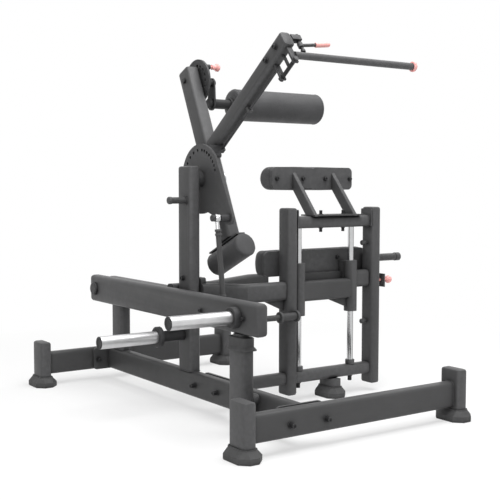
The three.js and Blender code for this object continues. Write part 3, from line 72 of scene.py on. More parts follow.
# Floor: one pale sheet. Seen straight on, in a reflection or through glass, it is mostly plain
# white, so that only the soft contact shadows show, and they fade out away from the machine.
def add_node(tree, kind, settings=None, **values):
    made = tree.nodes.new(kind)
    for key, value in (settings or {}).items():
        setattr(made, key, value)
    for key, value in values.items():
        made.inputs[key.replace("_", " ")].default_value = value
    return made


def seen_by_the_lens(tree):
    path = add_node(tree, "ShaderNodeLightPath")
    mask = path.outputs["Is Camera Ray"]
    for ray in ("Is Glossy Ray", "Is Transmission Ray"):
        either = add_node(tree, "ShaderNodeMath", {"operation": "MAXIMUM"})
        tree.links.new(mask, either.inputs[0])
        tree.links.new(path.outputs[ray], either.inputs[1])
        mask = either.outputs[0]
    return mask


floor_size = 60
floor_drop = 0.0005
bpy.ops.mesh.primitive_plane_add(size=floor_size, location=(0, 0, -floor_drop))
floor = bpy.context.object
floor.name = "floor"
floor_paint = bpy.data.materials.new("pale_floor")
floor_paint.use_nodes = True
tree = floor_paint.node_tree
tree.nodes.clear()
out = add_node(tree, "ShaderNodeOutputMaterial")
lit = add_node(tree, "ShaderNodeBsdfDiffuse", Color=(0.86, 0.86, 0.86, 1))
plain = add_node(tree, "ShaderNodeEmission", Color=(1, 1, 1, 1), Strength=1.0)
spot = add_node(tree, "ShaderNodeTexCoord")
reach = add_node(tree, "ShaderNodeVectorMath", {"operation": "LENGTH"})
fade = add_node(
    tree, "ShaderNodeMapRange", From_Min=1.2, From_Max=2.4, To_Min=0.55, To_Max=1.0,
)
share = add_node(tree, "ShaderNodeMath", {"operation": "MULTIPLY"})
mix = add_node(tree, "ShaderNodeMixShader")
tree.links.new(spot.outputs["Object"], reach.inputs[0])
tree.links.new(reach.outputs["Value"], fade.inputs["Value"])
tree.links.new(seen_by_the_lens(tree), share.inputs[0])
tree.links.new(fade.outputs["Result"], share.inputs[1])
tree.links.new(share.outputs[0], mix.inputs[0])
tree.links.new(lit.outputs[0], mix.inputs[1])
tree.links.new(plain.outputs[0], mix.inputs[2])
tree.links.new(mix.outputs[0], out.inputs["Surface"])
floor.data.materials.append(floor_paint)

# Light: an even pale surround that is plain white to the lens, a wide lamp overhead, a softer
# one from the left front and a weak one from the right.
world = bpy.data.worlds.new("studio")
bpy.context.scene.world = world
world.use_nodes = True
tree = world.node_tree
tree.nodes.clear()
out = add_node(tree, "ShaderNodeOutputWorld")
ambient = add_node(tree, "ShaderNodeBackground", Color=(1, 1, 1, 1), Strength=0.44)
backdrop = add_node(tree, "ShaderNodeBackground", Color=(1, 1, 1, 1), Strength=1.0)
mix = add_node(tree, "ShaderNodeMixShader")
tree.links.new(seen_by_the_lens(tree), mix.inputs[0])
tree.links.new(ambient.outputs[0], mix.inputs[1])
tree.links.new(backdrop.outputs[0], mix.inputs[2])
tree.links.new(mix.outputs[0], out.inputs["Surface"])


def lamp(name, place, target, width, height, power):
    data = bpy.data.lights.new(name, "AREA")
    data.shape = "RECTANGLE"
    data.size = width
    data.size_y = height
    data.energy = power
    made = bpy.data.objects.new(name, data)
    made.location = place
    made.rotation_euler = (Vector(target) - Vector(place)).to_track_quat("-Z", "Y").to_euler()
    bpy.context.collection.objects.link(made)


lamp("overhead", place=(0.1, -0.9, 4.0), target=(0, 0, 0.6), width=3.2, height=3.2, power=175)
lamp("front_left", place=(-3.6, -3.4, 2.6), target=(0, 0, 0.7), width=2.0, height=2.6, power=48)
lamp("right", place=(3.8, 0.6, 2.4), target=(0, 0, 0.8), width=2.0, height=3.0, power=30)


# Frame: the tubes, plates and levers are steel, welded and powder coated dark grey. The coat has
# a fine orange-peel skin, and is a little uneven, worn pale along edges and lightly dusty on top,
# with painted shade darkening it in corners and creases. Its effects are groups that other
# finishes use too, and each gives a mask or a normal.
def group_tree(name, inputs, outputs):
    made = bpy.data.node_groups.new(name, "ShaderNodeTree")
    for label, value in inputs:
        socket = made.interface.new_socket(label, in_out="INPUT", socket_type="NodeSocketFloat")
        socket.default_value = value
    for label, kind in outputs:
        made.interface.new_socket(label, in_out="OUTPUT", socket_type=kind)
    return made, made.nodes.new("NodeGroupInput"), made.nodes.new("NodeGroupOutput")


fine_grain, into, give = group_tree(
    "fine_grain", [("Scale", 900), ("Height", 0.0002), ("Edge", 0.001)],
    [("Normal", "NodeSocketVector"), ("Mask", "NodeSocketFloat")],
)
place = add_node(fine_grain, "ShaderNodeTexCoord")
noise = add_node(fine_grain, "ShaderNodeTexNoise", Detail=3.0, Roughness=0.6)
bump = add_node(fine_grain, "ShaderNodeBump", Strength=1.0)
eased = add_node(fine_grain, "ShaderNodeBevel", {"samples": 6})
fine_grain.links.new(into.outputs["Edge"], eased.inputs["Radius"])
fine_grain.links.new(eased.outputs["Normal"], bump.inputs["Normal"])
fine_grain.links.new(place.outputs["Object"], noise.inputs["Vector"])
fine_grain.links.new(into.outputs["Scale"], noise.inputs["Scale"])
fine_grain.links.new(noise.outputs["Fac"], bump.inputs["Height"])
fine_grain.links.new(into.outputs["Height"], bump.inputs["Distance"])
fine_grain.links.new(bump.outputs["Normal"], give.inputs["Normal"])
fine_grain.links.new(noise.outputs["Fac"], give.inputs["Mask"])

broad_variation, into, give = group_tree(
    "broad_variation", [("Scale", 7), ("Low", 0.0), ("High", 1.0)], [("Mask", "NodeSocketFloat")],
)
place = add_node(broad_variation, "ShaderNodeTexCoord")
noise = add_node(
    broad_variation, "ShaderNodeTexNoise", Detail=5.0, Roughness=0.62, Distortion=0.4,
)
spread = add_node(broad_variation, "ShaderNodeMapRange", From_Min=0.3, From_Max=0.7)
broad_variation.links.new(place.outputs["Object"], noise.inputs["Vector"])
broad_variation.links.new(into.outputs["Scale"], noise.inputs["Scale"])
broad_variation.links.new(noise.outputs["Fac"], spread.inputs["Value"])
broad_variation.links.new(into.outputs["Low"], spread.inputs["To Min"])
broad_variation.links.new(into.outputs["High"], spread.inputs["To Max"])
broad_variation.links.new(spread.outputs["Result"], give.inputs["Mask"])


def scaled_mask(tree, into, give, masks):
    value = into.outputs["Amount"]
    for mask in masks:
        product = add_node(tree, "ShaderNodeMath", {"operation": "MULTIPLY"})
        tree.links.new(mask, product.inputs[0])
        tree.links.new(value, product.inputs[1])
        value = product.outputs[0]
    tree.links.new(value, give.inputs["Mask"])


worn_edge, into, give = group_tree("worn_edge", [("Amount", 1.0)], [("Mask", "NodeSocketFloat")])
shape = add_node(worn_edge, "ShaderNodeNewGeometry")
place = add_node(worn_edge, "ShaderNodeTexCoord")
noise = add_node(worn_edge, "ShaderNodeTexNoise", Scale=60.0, Detail=4.0)
edge = add_node(worn_edge, "ShaderNodeMapRange", From_Min=0.52, From_Max=0.62)
worn_edge.links.new(shape.outputs["Pointiness"], edge.inputs["Value"])
worn_edge.links.new(place.outputs["Object"], noise.inputs["Vector"])
scaled_mask(worn_edge, into, give, (edge.outputs["Result"], noise.outputs["Fac"]))

settled_dust, into, give = group_tree(
    "settled_dust", [("Amount", 1.0)], [("Mask", "NodeSocketFloat")],
)
shape = add_node(settled_dust, "ShaderNodeNewGeometry")
split = add_node(settled_dust, "ShaderNodeSeparateXYZ")
place = add_node(settled_dust, "ShaderNodeTexCoord")
noise = add_node(settled_dust, "ShaderNodeTexNoise", Scale=26.0, Detail=6.0, Roughness=0.7)
level = add_node(settled_dust, "ShaderNodeMapRange", From_Min=0.6, From_Max=1.0)
settled_dust.links.new(shape.outputs["Normal"], split.inputs["Vector"])
settled_dust.links.new(split.outputs["Z"], level.inputs["Value"])
settled_dust.links.new(place.outputs["Object"], noise.inputs["Vector"])
scaled_mask(settled_dust, into, give, (level.outputs["Result"], noise.outputs["Fac"]))

# Painted shade: the colour is darkened towards near black in corners, creases and between parts,
# where ambient occlusion finds other surfaces close. It stands in for the shade that falls there.
corner_painted_shade, into, give = group_tree(
    "corner_painted_shade", [("Reach", 0.02), ("Amount", 1.0)], [("Mask", "NodeSocketFloat")],
)
hidden = add_node(corner_painted_shade, "ShaderNodeAmbientOcclusion", {"samples": 6})
deep = add_node(corner_painted_shade, "ShaderNodeMapRange", From_Min=0.95, From_Max=0.35)
corner_painted_shade.links.new(into.outputs["Reach"], hidden.inputs["Distance"])
corner_painted_shade.links.new(hidden.outputs["AO"], deep.inputs["Value"])
scaled_mask(corner_painted_shade, into, give, (deep.outputs["Result"],))


def surface(name, metallic=0.0, **sockets):
    made = bpy.data.materials.new(name)
    made.use_nodes = True
    tree = made.node_tree
    bsdf = tree.nodes["Principled BSDF"]
    bsdf.inputs["Metallic"].default_value = metallic
    for key, value in sockets.items():
        bsdf.inputs[key.replace("_", " ")].default_value = value
    return made, tree, bsdf


def use_group(tree, group, **values):
    made = tree.nodes.new("ShaderNodeGroup")
    made.node_tree = group
    for key, value in values.items():
        made.inputs[key].default_value = value
    return made


def blend_colour(tree, mask, first, second):
    made = tree.nodes.new("ShaderNodeMix")
    made.data_type = "RGBA"
    tree.links.new(mask.outputs["Mask"], made.inputs["Factor"])
    for socket, value in (("A", first), ("B", second)):
        target = [s for s in made.inputs if s.name == socket and s.type == "RGBA"][0]
        if isinstance(value, tuple):
            target.default_value = (*value, 1)
        else:
            tree.links.new(value, target)
    return [s for s in made.outputs if s.type == "RGBA"][0]


def connect(tree, bsdf, colour, rough, normal):
    tree.links.new(colour, bsdf.inputs["Base Color"])
    tree.links.new(rough.outputs["Mask"], bsdf.inputs["Roughness"])
    tree.links.new(normal.outputs["Normal"], bsdf.inputs["Normal"])


# The grained finishes share one recipe. Tone and rough hold a scale and two ends to drift between,
# edge an amount and a colour, the shade painted darker into corners a reach and an amount, and
# grain the inputs of the fine grain.
def grained_finish(name, tone, edge, rough, grain, dust=None, painted_shade=None, **sockets):
    made, tree, bsdf = surface(name, **sockets)
    tone_scale, low, high = tone
    tones = use_group(tree, broad_variation, Scale=tone_scale, Low=0, High=1)
    colour = blend_colour(tree, tones, low, high)
    edge_amount, bare = edge
    colour = blend_colour(tree, use_group(tree, worn_edge, Amount=edge_amount), colour, bare)
    if dust:
        colour = blend_colour(
            tree, use_group(tree, settled_dust, Amount=dust), colour, (0.25, 0.25, 0.25),
        )
    # Painted shade: near black is blended in where the corner mask finds surfaces close together.
    if painted_shade:
        shaded_corners = use_group(tree, corner_painted_shade, Reach=painted_shade[0], Amount=painted_shade[1])
        colour = blend_colour(tree, shaded_corners, colour, (0.012, 0.012, 0.012))
    rough_scale, smoothest, roughest = rough
    gloss = use_group(tree, broad_variation, Scale=rough_scale, Low=smoothest, High=roughest)
    connect(tree, bsdf, colour, gloss, use_group(tree, fine_grain, **grain))
    return made


# Rounded faces of the drawn parts are shaded smooth. Corners closer than same_point are one
# corner, and edges that turn by more than sharpest_bend stay sharp.
same_point = 0.00002
sharpest_bend = math.radians(33)
smoothing = bpy.data.node_groups.new("smooth_by_angle", "GeometryNodeTree")
smoothing.interface.new_socket("Geometry", in_out="INPUT", socket_type="NodeSocketGeometry")
smoothing.interface.new_socket("Geometry", in_out="OUTPUT", socket_type="NodeSocketGeometry")
into = smoothing.nodes.new("NodeGroupInput")
give = smoothing.nodes.new("NodeGroupOutput")
bare = add_node(smoothing, "GeometryNodeRemoveAttribute", Name="custom_normal")
weld = add_node(smoothing, "GeometryNodeMergeByDistance", Distance=same_point)
round_faces = add_node(smoothing, "GeometryNodeSetShadeSmooth", {"domain": "FACE"})
sharp_edges = add_node(
    smoothing, "GeometryNodeSetShadeSmooth", {"domain": "EDGE"}, Shade_Smooth=False,
)
angle = add_node(smoothing, "GeometryNodeInputMeshEdgeAngle")
wide = add_node(
    smoothing, "FunctionNodeCompare", {"data_type": "FLOAT", "operation": "GREATER_THAN"},
    B=sharpest_bend,
)
smoothing.links.new(into.outputs[0], bare.inputs["Geometry"])
smoothing.links.new(bare.outputs[0], weld.inputs["Geometry"])
smoothing.links.new(weld.outputs[0], round_faces.inputs["Geometry"])
smoothing.links.new(round_faces.outputs[0], sharp_edges.inputs["Geometry"])
smoothing.links.new(angle.outputs["Unsigned Angle"], wide.inputs["A"])
smoothing.links.new(wide.outputs["Result"], sharp_edges.inputs["Selection"])
smoothing.links.new(sharp_edges.outputs[0], give.inputs[0])


def smooth(piece):
    made = piece.modifiers.new("smooth_by_angle", "NODES")
    made.node_group = smoothing


# A drawn part takes the finish of its material slot in the record, unless a later call dresses it
# in another.
def in_slot(slot):
    return [entry["node"] for entry in parts if entry["material_slot"] == slot]


def dress(finish, nodes):
    for node in nodes:
        materials = frame["nodes"][node].data.materials
        materials.clear()
        materials.append(finish)


parts = frame["record"]["subparts"]
for entry in parts:
    smooth(frame["nodes"][entry["node"]])


def powder_coat(name, low, high):
    return grained_finish(
        name, tone=(5, low, high), edge=(0.4, (0.17, 0.17, 0.175)), rough=(18, 0.40, 0.50),
        grain={"Scale": 1100, "Height": 0.00012, "Edge": 0.0016},
        dust=0.06, painted_shade=(0.022, 0.75), Specular_IOR_Level=0.2,
    )


coat = powder_coat("grey_powder_coat", (0.056, 0.056, 0.057), (0.066, 0.066, 0.067))
dress(coat, in_slot("frame_paint"))

# Horns and roller fittings: the two horns that carry the plates' sleeves and the upper roller's
# crank and selector plate are steel as well, and take a near black copy of the frame's coat.
dark_coat = powder_coat("black_powder_coat", (0.020, 0.020, 0.021), (0.030, 0.030, 0.031))
dress(dark_coat, ("weight_horn", "storage_horn", "roller_selector_plate", "roller_crank"))

# Feet and stops: black rubber, matt, with a coarse mould grain, pale scuffs and painted shade in
# its corners. The feet and the stop cap are pushed onto their posts, and the two stoppers are
# fixed to the right upright.
rubber = grained_finish(
    "moulded_rubber", tone=(22, (0.042, 0.042, 0.043), (0.060, 0.060, 0.061)),
    edge=(0.35, (0.14, 0.14, 0.14)), rough=(35, 0.55, 0.75),
    grain={"Scale": 650, "Height": 0.0003, "Edge": 0.0015},
    painted_shade=(0.018, 0.7), Specular_IOR_Level=0.3,
)
dress(rubber, in_slot("rubber"))


# Guide rods, rod end and plate sleeves: chromed steel with faint smears and hairline scratches. The
# rods stand between the cross tubes, the end is screwed onto the connecting rod, and the sleeves,
# which are satin, are pushed onto the horns.
def bright_plate(name, low, high, smoothest, roughest):
    made, tree, bsdf = surface(name, metallic=1.0)
    tone = use_group(tree, broad_variation, Scale=30, Low=0, High=1)
    place = add_node(tree, "ShaderNodeTexCoord")
    stretch = add_node(tree, "ShaderNodeMapping", Scale=(12, 900, 900))
    scratch = add_node(tree, "ShaderNodeTexNoise", Scale=1.0, Detail=2.0)
    bump = add_node(tree, "ShaderNodeBump", Strength=0.25, Distance=0.0001)
    rough = use_group(tree, broad_variation, Scale=14, Low=smoothest, High=roughest)
    tree.links.new(place.outputs["Object"], stretch.inputs["Vector"])
    tree.links.new(stretch.outputs["Vector"], scratch.inputs["Vector"])
    tree.links.new(scratch.outputs["Fac"], bump.inputs["Height"])
    connect(tree, bsdf, blend_colour(tree, tone, low, high), rough, bump)
    return made


chrome = bright_plate("polished_chrome", (0.52, 0.525, 0.53), (0.60, 0.60, 0.605), 0.12, 0.20)
dress(chrome, in_slot("chrome"))
satin = bright_plate("satin_chrome", (0.56, 0.56, 0.565), (0.64, 0.64, 0.645), 0.34, 0.44)
dress(satin, ("weight_sleeve", "storage_sleeve"))

# Main shaft and selector pin: bright turned steel, left bare because they turn and slide in their
# bores, with fine lathe rings round them.
steel, tree, bsdf = surface("turned_steel", metallic=1.0)
tone = use_group(tree, broad_variation, Scale=40, Low=0, High=1)
place = add_node(tree, "ShaderNodeTexCoord")
rings = add_node(tree, "ShaderNodeTexWave", {"bands_direction": "X"}, Scale=260.0, Distortion=1.5)
bump = add_node(tree, "ShaderNodeBump", Strength=0.3, Distance=0.0002)
rough = use_group(tree, broad_variation, Scale=60, Low=0.25, High=0.42)
tree.links.new(place.outputs["Object"], rings.inputs["Vector"])
tree.links.new(rings.outputs["Fac"], bump.inputs["Height"])
connect(tree, bsdf, blend_colour(tree, tone, (0.42, 0.43, 0.44), (0.56, 0.57, 0.58)), rough, bump)
dress(steel, in_slot("steel"))

# Pivot pins, brackets and the selector's housing: turned and bent steel, bolted or pinned to the
# painted parts and plated with black zinc, which has a dull metal sheen and rubbed edges.
zinc = grained_finish(
    "black_zinc", tone=(50, (0.013, 0.013, 0.014), (0.026, 0.026, 0.027)),
    edge=(0.5, (0.16, 0.16, 0.165)), rough=(80, 0.38, 0.55),
    grain={"Scale": 1600, "Height": 0.00005}, metallic=0.2, Specular_IOR_Level=0.3,
)
dress(zinc, in_slot("black_hardware"))

# Grips and knobs: the caps of the handle bar and of the release lever and the two pull pins are
# moulded in salmon-pink plastic, satin and slightly translucent.
pink = grained_finish(
    "pink_plastic", tone=(60, (0.80, 0.36, 0.34), (0.88, 0.43, 0.41)),
    edge=(0.3, (0.93, 0.62, 0.60)), rough=(70, 0.38, 0.52),
    grain={"Scale": 1500, "Height": 0.0001},
    Specular_IOR_Level=0.4, Subsurface_Weight=0.08,
)
dress(pink, in_slot("pink_plastic"))

# Pad boards: a dark board behind each of the two cushions, bolted to its steel bracket, with a
# stippled face, slightly rubbed corners and painted shade in its corners and creases.
boards = grained_finish(
    "stippled_board", tone=(12, (0.046, 0.046, 0.048), (0.060, 0.060, 0.062)),
    edge=(0.4, (0.17, 0.17, 0.17)), rough=(25, 0.5, 0.66),
    grain={"Scale": 420, "Height": 0.0003, "Edge": 0.002},
    painted_shade=(0.02, 0.6), Specular_IOR_Level=0.35,
)
dress(boards, in_slot("pad_board"))

# Cushions: foam on a board, under dark grey upholstery vinyl with a pebbled leather grain, soft
# creases and a low sheen. Each starts a little smaller than its drawn solid, is remeshed and is
# blown up as cloth, no further than a cap, with its back held on the board.
vinyl, tree, bsdf = surface(
    "grained_vinyl", Specular_IOR_Level=0.28, Sheen_Weight=0.03, Sheen_Roughness=0.5,
)
tone = use_group(tree, broad_variation, Scale=9, Low=0, High=1)
place = add_node(tree, "ShaderNodeTexCoord")
cells = add_node(tree, "ShaderNodeTexVoronoi", {"feature": "DISTANCE_TO_EDGE"}, Scale=520.0)
furrow = add_node(tree, "ShaderNodeMapRange", From_Max=0.16)
bump = add_node(tree, "ShaderNodeBump", Strength=0.5, Distance=0.0004)
creases = add_node(tree, "ShaderNodeTexNoise", Scale=70.0, Detail=4.0, Distortion=0.8)
crease_bump = add_node(tree, "ShaderNodeBump", Strength=0.22, Distance=0.0012)
rough = use_group(tree, broad_variation, Scale=16, Low=0.42, High=0.58)
tree.links.new(place.outputs["Object"], cells.inputs["Vector"])
tree.links.new(place.outputs["Object"], creases.inputs["Vector"])
tree.links.new(cells.outputs["Distance"], furrow.inputs["Value"])
tree.links.new(furrow.outputs["Result"], bump.inputs["Height"])
tree.links.new(creases.outputs["Fac"], crease_bump.inputs["Height"])
tree.links.new(crease_bump.outputs["Normal"], bump.inputs["Normal"])
connect(
    tree, bsdf, blend_colour(tree, tone, (0.050, 0.050, 0.052), (0.066, 0.066, 0.068)), rough, bump,
)
dress(vinyl, in_slot("pad_vinyl"))


def inflated(name, node, shrink, cap, voxel, body, held):
    cloth_frames = 20
    pressure, stretch, bend = 4, 12, 0.6
    low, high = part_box(node)
    middle = (low + high) / 2
    size = high - low
    piece = bpy.data.objects.new(name, frame["nodes"][node].data.copy())
    bpy.context.collection.objects.link(piece)
    mesh = bmesh.new()
    mesh.from_mesh(piece.data)
    bmesh.ops.remove_doubles(mesh, verts=mesh.verts, dist=same_point)
    for vertex in mesh.verts:
        for axis in range(3):
            factor = 1 - 2 * shrink[axis] / size[axis]
            vertex.co[axis] = middle[axis] + (vertex.co[axis] - middle[axis]) * factor
    mesh.to_mesh(piece.data)
    mesh.free()
    remesh = piece.modifiers.new("remesh", "REMESH")
    remesh.mode = "VOXEL"
    remesh.voxel_size = voxel
    bpy.context.view_layer.objects.active = piece
    piece.select_set(True)
    bpy.ops.object.modifier_apply(modifier="remesh")
    start = np.array([v.co for v in piece.data.vertices])
    pinned = piece.vertex_groups.new(name="pinned")
    pinned.add([i for i, co in enumerate(start) if held(co, low)], 1.0, "REPLACE")
    cloth = piece.modifiers.new("cloth", "CLOTH")
    cloth.settings.quality = 6
    cloth.settings.use_pressure = True
    cloth.settings.uniform_pressure_force = pressure
    cloth.settings.vertex_group_mass = "pinned"
    cloth.settings.tension_stiffness = stretch
    cloth.settings.compression_stiffness = stretch
    cloth.settings.bending_stiffness = bend
    cloth.settings.effector_weights.gravity = 0
    cloth.point_cache.frame_end = cloth_frames
    for step in range(1, cloth_frames + 1):
        bpy.context.scene.frame_set(step)
    posed = piece.evaluated_get(bpy.context.evaluated_depsgraph_get())
    swollen = np.array([v.co for v in posed.data.vertices])
    bpy.context.scene.frame_set(1)
    piece.modifiers.remove(cloth)
    shift = swollen - start
    length = np.linalg.norm(shift, axis=1, keepdims=True)
    kept = start + shift * np.minimum(1, cap / np.maximum(length, 1e-9))
    piece.data.vertices.foreach_set("co", kept.ravel())
    piece.data.update()
    smoother = piece.modifiers.new("soften", "SMOOTH")
    smoother.factor = 0.5
    smoother.iterations = 4
    finer = piece.modifiers.new("finer", "SUBSURF")
    finer.levels = 1
    finer.render_levels = 1
    piece.data.materials.clear()
    piece.data.materials.append(vinyl)
    for polygon in piece.data.polygons:
        polygon.use_smooth = True
    piece.select_set(False)
    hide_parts(node)
    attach(piece, body)
    return piece


def against_board(co, low):
    held_depth = 0.008
    return co[1] < low.y + held_depth


chest = inflated(
    "chest_pad", "chest_pad_cushion", shrink=(0.003, 0.001, 0.003), cap=0.006, voxel=0.005,
    body="frame", held=against_board,
)
hip = inflated(
    "hip_pad", "hip_pad_cushion", shrink=(0.003, 0.001, 0.003), cap=0.006, voxel=0.005,
    body="hip_carriage", held=against_board,
)


# Seams: the end panels of each cover are sewn to its middle, with a welt cord of the same vinyl in
# the seam and a row of stitches beside it. Both are laid on the finished cushion, by dropping a
# loop of points onto the nearest cover.
def laid_on(piece, points, lift):
    tree = BVHTree.FromObject(piece, bpy.context.evaluated_depsgraph_get())
    found = []
    for point in points:
        place, normal, _, _ = tree.find_nearest(Vector(point))
        found.append((place + normal * lift, normal))
    return found


def mesh_piece(name, mesh, material, body):
    data = bpy.data.meshes.new(name)
    mesh.to_mesh(data)
    mesh.free()
    made = bpy.data.objects.new(name, data)
    bpy.context.collection.objects.link(made)
    data.materials.append(material)
    for polygon in data.polygons:
        polygon.use_smooth = True
    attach(made, body)
    return made


def bridge(mesh, near, far):
    count = len(near)
    for k in range(count):
        mesh.faces.new((near[k], near[(k + 1) % count], far[(k + 1) % count], far[k]))


def cord_along(mesh, path, radius, sides=6, closed=True):
    count = len(path)
    rings = []
    for i, (place, normal) in enumerate(path):
        before = path[i - 1][0] if closed or i else place
        after = path[(i + 1) % count][0] if closed or i + 1 < count else place
        run = (after - before).normalized()
        side = run.cross(normal).normalized()
        up = side.cross(run).normalized()
        ring = []
        for k in range(sides):
            turn = 2 * math.pi * k / sides
            out = side * math.cos(turn) + up * math.sin(turn)
            ring.append(mesh.verts.new(place + out * radius))
        rings.append(ring)
    for i in range(count if closed else count - 1):
        bridge(mesh, rings[i], rings[(i + 1) % count])
    if not closed:
        mesh.faces.new(rings[0][::-1])
        mesh.faces.new(rings[-1])


def welt(name, piece, points, body, radius=0.0016, sunk=0.0004):
    mesh = bmesh.new()
    cord_along(mesh, laid_on(piece, points, -sunk), radius)
    return mesh_piece(name, mesh, vinyl, body)


def stitch_row(name, piece, points, body, pitch=0.007, length=0.0045, radius=0.0006):
    path = laid_on(piece, points, radius / 2)
    mesh = bmesh.new()
    walked = 0.0
    for (place, normal), (ahead, _) in zip(path, path[1:] + path[:1]):
        step = (ahead - place).length
        while walked < step and step > 1e-6:
            run = (ahead - place) / step
            start = place + run * walked
            thread = [
                (start + run * length * along + normal * radius * rise, normal)
                for along, rise in ((0, -1), (0.25, 0.5), (0.75, 0.5), (1, -1))
            ]
            cord_along(mesh, thread, radius, sides=5, closed=False)
            walked += pitch
        walked -= step
    return mesh_piece(name, mesh, vinyl, body)


def loop_about_x(x, centre_y, centre_z, reach_y, reach_z, count=96):
    turns = [2 * math.pi * i / count for i in range(count)]
    return [(x, centre_y + reach_y * math.cos(t), centre_z + reach_z * math.sin(t)) for t in turns]


cushions = (
    ("chest", chest, "chest_pad_cushion", "frame"),
    ("hip", hip, "hip_pad_cushion", "hip_carriage"),
)
seam_inset = 0.016
stitch_inset = 0.008
overreach = 1.3
for name, piece, node, body in cushions:
    low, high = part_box(node)
    middle = (low + high) / 2
    reach = (high - low) / 2 * overreach
    for side, x, inward in (("left", low.x + seam_inset, 1), ("right", high.x - seam_inset, -1)):
        loop = loop_about_x(x, middle.y, middle.z, reach.y, reach.z)
        welt(f"{name}_{side}_seam", piece, loop, body)
        loop = loop_about_x(x + inward * stitch_inset, middle.y, middle.z, reach.y, reach.z)
        stitch_row(f"{name}_{side}_stitches", piece, loop, body)


# Pad backs: where each cover is folded in under its board, its edge shows as a welt of the same
# vinyl, led round the board's outline with rounded corners.
def rounded_loop(middle, across, up, half_across, half_up, corner, steps, spacing):
    outline = []
    for quarter, (u, v) in enumerate(((1, 1), (-1, 1), (-1, -1), (1, -1))):
        for step in range(steps + 1):
            turn = math.radians(90 * quarter + 90 * step / steps)
            side = across * (u * (half_across - corner) + corner * math.cos(turn))
            rise = up * (v * (half_up - corner) + corner * math.sin(turn))
            outline.append(middle + side + rise)
    spaced = []
    for start, end in zip(outline, outline[1:] + outline[:1]):
        parts = max(1, round((end - start).length / spacing))
        spaced += [start.lerp(end, k / parts) for k in range(parts)]
    return spaced


fold_depth = 0.0045
for name, piece, node, body in cushions:
    low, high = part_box(node)
    middle = (low + high) / 2
    middle.y = low.y + fold_depth
    loop = rounded_loop(
        middle, Vector((1, 0, 0)), Vector((0, 0, 1)), (high.x - low.x) / 2, (high.z - low.z) / 2,
        corner=0.014, steps=6, spacing=0.008,
    )
    welt(f"{name}_back_welt", piece, loop, body, radius=0.0017, sunk=0.0002)


# Rolls: the kick pad and the upper roller are firm foam under a stretched vinyl cover, made as the
# cushions are, with a smaller cap and nothing held. A seam ring near each end shows where the end
# disc of the cover is sewn to its side. The kick pad leans with the arm.
def nowhere(co, low):
    return False


kick_roll = inflated(
    "kick_roll", "kick_pad", shrink=(0.003, 0.003, 0.003), cap=0.004, voxel=0.005,
    body="arm", held=nowhere,
)
upper_roll = inflated(
    "upper_roll", "upper_roller", shrink=(0.002, 0.002, 0.002), cap=0.003, voxel=0.006,
    body="upper_roller", held=nowhere,
)
roll_cord = 0.0018
roller_inset, roller_reach = 0.013, 0.09
low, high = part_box("upper_roller")
middle = (low + high) / 2
for side, x in (("left", low.x + roller_inset), ("right", high.x - roller_inset)):
    loop = loop_about_x(x, middle.y, middle.z, roller_reach, roller_reach)
    welt(f"upper_roll_{side}_seam", upper_roll, loop, "upper_roller", radius=roll_cord)
arm_tilt = math.radians(24.6)
pad_seam_place, pad_reach, pad_steps = 0.1145, 0.06, 72
low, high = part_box("kick_pad")
middle = (low + high) / 2
sideways = Vector((1, 0, 0))
ahead = Vector((0, -math.cos(arm_tilt), math.sin(arm_tilt)))
upward = Vector((0, math.sin(arm_tilt), math.cos(arm_tilt)))
for side, along in (("front", pad_seam_place), ("back", -pad_seam_place)):
    loop = []
    for step in range(pad_steps):
        turn = 2 * math.pi * step / pad_steps
        out = sideways * math.cos(turn) + upward * math.sin(turn)
        loop.append(middle + ahead * along + out * pad_reach)
    welt(f"kick_roll_{side}_seam", kick_roll, loop, "arm", radius=roll_cord)


# Bolts of the pad boards: black zinc socket bolts with washers, on the faces towards the frame.
# They are turned from rings about an axis, and rings smaller than the hexagon limit get six flat
# sides.
def turned_onto(mesh, place, axis, profile, sides=24, hexed=0.0):
    along = Vector(axis).normalized()
    side = along.orthogonal().normalized()
    up = along.cross(side)
    half_flat = math.pi / 6
    rings = []
    for radius, rise in profile:
        ring = []
        for k in range(sides):
            turn = 2 * math.pi * k / sides
            reach = radius
            if 0 < radius < hexed:
                reach = radius * math.cos(half_flat) / math.cos(turn % (2 * half_flat) - half_flat)
            out = side * math.cos(turn) + up * math.sin(turn)
            ring.append(mesh.verts.new(Vector(place) + along * rise + out * reach))
        rings.append(ring)
    for near, far in zip(rings, rings[1:]):
        bridge(mesh, near, far)
    bmesh.ops.remove_doubles(mesh, verts=mesh.verts, dist=1e-6)


def socket_bolt(mesh, place, axis, washer, head, foot, height):
    washer_top = foot + 0.0025
    washer_edge, head_edge = 0.0006, 0.0009
    socket_share, socket_edge, socket_lip, floor_dip = 0.56, 0.0008, 0.0006, 0.0002
    hexagon = head * socket_share
    socket_floor = height - 0.0024
    turned_onto(mesh, place, axis, (
        (washer, foot), (washer, washer_top - washer_edge), (washer - washer_edge, washer_top),
        (head, washer_top), (head, height - head_edge), (head - head_edge, height),
        (hexagon + socket_edge, height), (hexagon, height - socket_lip), (hexagon, socket_floor),
        (0.0, socket_floor - floor_dip),
    ), hexed=hexagon + socket_edge / 2)


for name, board, body, z, xs in (
    ("chest_board_bolts", "chest_pad_board", "frame", 0.9318, (0.652, 0.791, 0.9127, 1.053)),
    ("hip_board_bolts", "hip_pad_board", "hip_carriage", 0.592, (0.655, 0.943)),
):
    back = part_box(board)[0].y
    mesh = bmesh.new()
    for x in xs:
        place = (post.x + x, back, z)
        socket_bolt(mesh, place, (0, -1, 0), washer=0.0105, head=0.0075, foot=0.0, height=0.011)
    smooth(mesh_piece(name, mesh, zinc, body))


